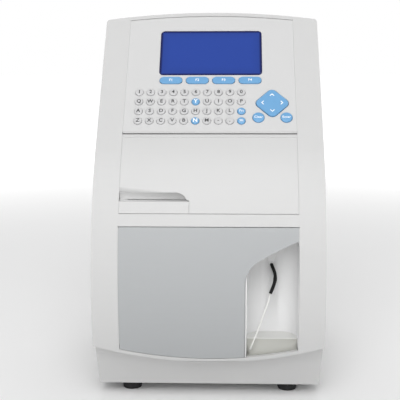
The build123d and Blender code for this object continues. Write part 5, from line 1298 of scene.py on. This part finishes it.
@dataclass
class SamplingNiche:
    """The niche with its tray, collar, sleeve and probe."""

    model: Model
    sleeve_radius: float = 1.8 * MM
    sleeve_angle: float = 60.0
    ridge: float = 0.30
    ridged_at: float = 0.56
    ridged_share: float = 1 / 9
    ripple: float = 78.0
    stations: int = 120
    sides: int = 24
    tray_ends: tuple[tuple[int, float, float], ...] = ((-1, 43.4 * MM, 0.9 * MM), (1, 92.5 * MM, 1.1 * MM))
    route: tuple[Point, ...] = (
        (68.0, -107.955, 146.5), (68.0, -113.455, 146.5), (71.4, -118.155, 140.459),
        (71.9, -121.255, 133.555), (69.8, -123.955, 126.478), (66.1, -126.455, 118.884))

    def fill(self, corner: Vector) -> None:
        """Widen the tray to the running gap that it has in its niche.

        Args:
            corner: a corner of the tray, moved in place.
        """
        for side, end, reach in self.tray_ends:
            if (corner.x - end) * side > 0:
                corner.x += side * reach

    def sleeve(self) -> bpy.types.Mesh:
        """Return the ridged rubber sleeve that holds the probe.

        Returns:
            The sleeve's mesh.
        """
        finish = Look.SLEEVE.material()
        tree = Grower("ridged_sleeve", Radius=self.sleeve_radius, Ridge=self.ridge, Finish=finish)
        line = tree.node("GeometryNodeMeshToCurve", {"Mesh": tree.given("Geometry")})
        line = tree.node("GeometryNodeCurveSplineType", {"Curve": line}, spline_type="NURBS")
        line = tree.node("GeometryNodeResampleCurve", {"Curve": line, "Count": self.stations})
        along = tree.node("GeometryNodeSplineParameter")
        away = tree.maths("ABSOLUTE", tree.maths("SUBTRACT", along, self.ridged_at))
        away = tree.maths("MINIMUM", 1.0, tree.maths("DIVIDE", away, self.ridged_share))
        wave = tree.maths("ABSOLUTE", tree.maths("SINE", tree.maths("MULTIPLY", along, self.ripple)))
        wave = tree.maths("MULTIPLY", tree.maths("SUBTRACT", 1.0, away), wave)
        grown = tree.maths("ADD", 1.0, tree.maths("MULTIPLY", wave, tree.given("Ridge")))
        line = tree.node("GeometryNodeSetCurveRadius", {"Curve": line, "Radius": grown})
        ring = tree.node("GeometryNodeCurvePrimitiveCircle", {
            "Resolution": self.sides, "Radius": tree.given("Radius")})
        tube = tree.node("GeometryNodeCurveToMesh", {
            "Curve": line, "Profile Curve": ring, "Scale": grown, "Fill Caps": True})
        return tree.bake(tube, points_mesh([tuple(part * MM for part in spot) for spot in self.route], True))

    def build(self) -> None:
        """Dress the niche and add the ridged sleeve."""
        model = self.model
        model.smooth(Look.LINER, "niche_liner", "probe_collar", angle=40)
        model.smooth(Look.TRAY, "drip_tray", fit=self.fill)
        model.smooth(Look.CAPILLARY, "sample_probe", angle=60)
        sleeve = model.add("ridged_sleeve", self.sleeve(), Look.SLEEVE, "probe_sleeve", self.sleeve_angle)
        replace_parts(sleeve, "probe_sleeve")


@dataclass
class RearPanel:
    """The rear panel with its inlet, switch, port and what stands behind it."""

    model: Model
    rocker_x: float = 90.0 * MM
    on_mark: Point = (65.0 * MM, 1.35 * MM, -14.5)
    off_mark: Point = (55.4 * MM, 2.4 * MM, 4.0)
    mark: float = 1.4 * MM
    bar_width: float = 0.5 * MM
    ring_width: float = 0.45 * MM
    ring_sides: int = 24

    def marks(self) -> None:
        """Add the switch's on and off marks, each with its height, its depth behind the tip and its tilt."""
        turns = [step * 2 * math.pi / self.ring_sides for step in range(self.ring_sides + 1)]
        around = [(self.mark * math.cos(turn), self.mark * math.sin(turn)) for turn in turns]
        bar = stroke_mesh([(0, -self.mark), (0, self.mark)], self.bar_width)
        ring = stroke_mesh(around, self.ring_width)
        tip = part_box("power_rocker")[1].y
        marks = joined([
            (mesh, Matrix.Translation((self.rocker_x, tip - behind, height))
             @ Matrix.Rotation(math.radians(tilt), 4, "X") @ BACKWARDS)
            for mesh, (height, behind, tilt) in ((bar, self.on_mark), (ring, self.off_mark))])
        self.model.add("switch_marks", marks, Look.WHITE_INK, "power_rocker", None)

    def build(self) -> None:
        """Dress the rear panel, its fittings and the boards."""
        model = self.model
        model.paint(Look.REAR_SHEET, "rear_panel")
        model.paint(Look.BLACK, "power_inlet", "power_rocker")
        model.paint(Look.STEEL, "serial_port", "power_supply")
        model.paint(Look.LAMINATE, "main_board")
        self.marks()


@dataclass(frozen=True)
class SoftLight:
    """A square soft light: its name, place and aim, its side in metres and its power in watts."""

    name: str
    place: Point
    aim: Point
    size: float
    power: float

    def add(self) -> None:
        """Hang the light."""
        data = bpy.data.lights.new(self.name, "AREA")
        data.size, data.energy = self.size, self.power
        lamp = linked(self.name, data)
        lamp.location = self.place
        lamp.rotation_mode = "QUATERNION"
        lamp.rotation_quaternion = (Vector(self.aim) - Vector(self.place)).to_track_quat("-Z", "Y")


@dataclass
class Studio:
    """A plain pale floor, soft light and the photograph's camera."""

    eye: Point = (0.024166, -1.038680, 0.390)
    turned: Point = (79.4999, 0.1906, 2.0469)
    lens: float = 79.2
    sensor: float = 36.0
    floor_half: float = 8.0
    floor_tones: tuple[float, float] = (0.83, 0.85)
    floor_patch: float = 0.4
    floor_roughness: float = 0.9
    floor_gloss: float = 0.1
    floor_glow: float = 0.6
    near: float = 0.35
    far: float = 1.9
    walls: float = 1.0
    ceiling: float = 0.55
    cornice: tuple[float, float] = (0.04, 0.20)
    lights: tuple[SoftLight, ...] = (
        SoftLight("high_light", (0.0, -1.6, 1.9), (0, 0, 0.25), 1.5, 22.0),
        SoftLight("front_light", (-0.25, -2.1, 1.05), (0, 0, 0.2), 1.5, 8.0),
        SoftLight("back_light", (0.0, 1.6, 2.2), (0, 0.3, 0.1), 1.6, 14.0),
        SoftLight("right_light", (1.9, -1.0, 0.9), (0, 0, 0.25), 1.2, 2.0))

    def camera(self) -> None:
        """Set the camera where the photograph was taken from."""
        data = bpy.data.cameras.new("camera")
        data.lens, data.sensor_width = self.lens, self.sensor
        camera = linked("camera", data)
        camera.location = self.eye
        camera.rotation_euler = Euler([math.radians(angle) for angle in self.turned])
        bpy.context.scene.camera = camera

    def floor(self) -> None:
        """Lay the pale floor, with a painted glow that fades in away from the analyzer, so it brightens
        towards the white walls.
        """
        shader = Shader("pale_floor")
        darker, lighter = ((tone, tone, tone) for tone in self.floor_tones)
        x, y, _ = shader.axes()
        far = (x * x + y * y).step(self.near ** 2, self.far ** 2)
        corners = [(self.floor_half * side, self.floor_half * deep, 0) for side, deep in (
            (-1, -1), (1, -1), (1, 1), (-1, 1))]
        mesh = bpy.data.meshes.new("floor")
        mesh.from_pydata(corners, [], [(0, 1, 2, 3)])
        mesh.materials.append(shader.surface(
            Base_Color=shader.mix(darker, lighter, shader.noise(self.floor_patch)),
            Roughness=self.floor_roughness, Specular_IOR_Level=self.floor_gloss,
            # painted light: emission that rises with distance from the analyzer, so the far floor glows white
            Emission_Color=shader.mix((0.0, 0.0, 0.0), (1.0, 1.0, 1.0), far),
            Emission_Strength=self.floor_glow))
        linked("floor", mesh)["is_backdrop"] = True

    def room(self) -> None:
        """Set the white walls and the dimmer ceiling."""
        room = Shader("studio", bpy.data.worlds.new("studio"))
        _, _, height = room.axes()
        sky = height.step(*self.cornice) * (self.ceiling - self.walls) + self.walls
        background = room.node("ShaderNodeBackground", None, {"Color": (1.0, 1.0, 1.0), "Strength": sky})
        room.node("ShaderNodeOutputWorld", None, {"Surface": background["Background"]})
        bpy.context.scene.world = room.material
        bpy.context.scene.view_settings.view_transform = "Standard"

    def build(self) -> None:
        """Set the camera, the floor, the room and the lights."""
        self.camera()
        self.floor()
        self.room()
        for light in self.lights:
            light.add()


def main() -> None:
    """Build the analyzer's looks in order."""
    logging.basicConfig(level=logging.INFO, format="%(name)s %(message)s")
    model = Model()
    Studio().build()
    for assembly in (Housing, Keypad, Reveals, PrinterBay, ModuleBay, SamplingNiche, RearPanel):
        assembly(model).build()


if __name__ == "__main__":
    main()
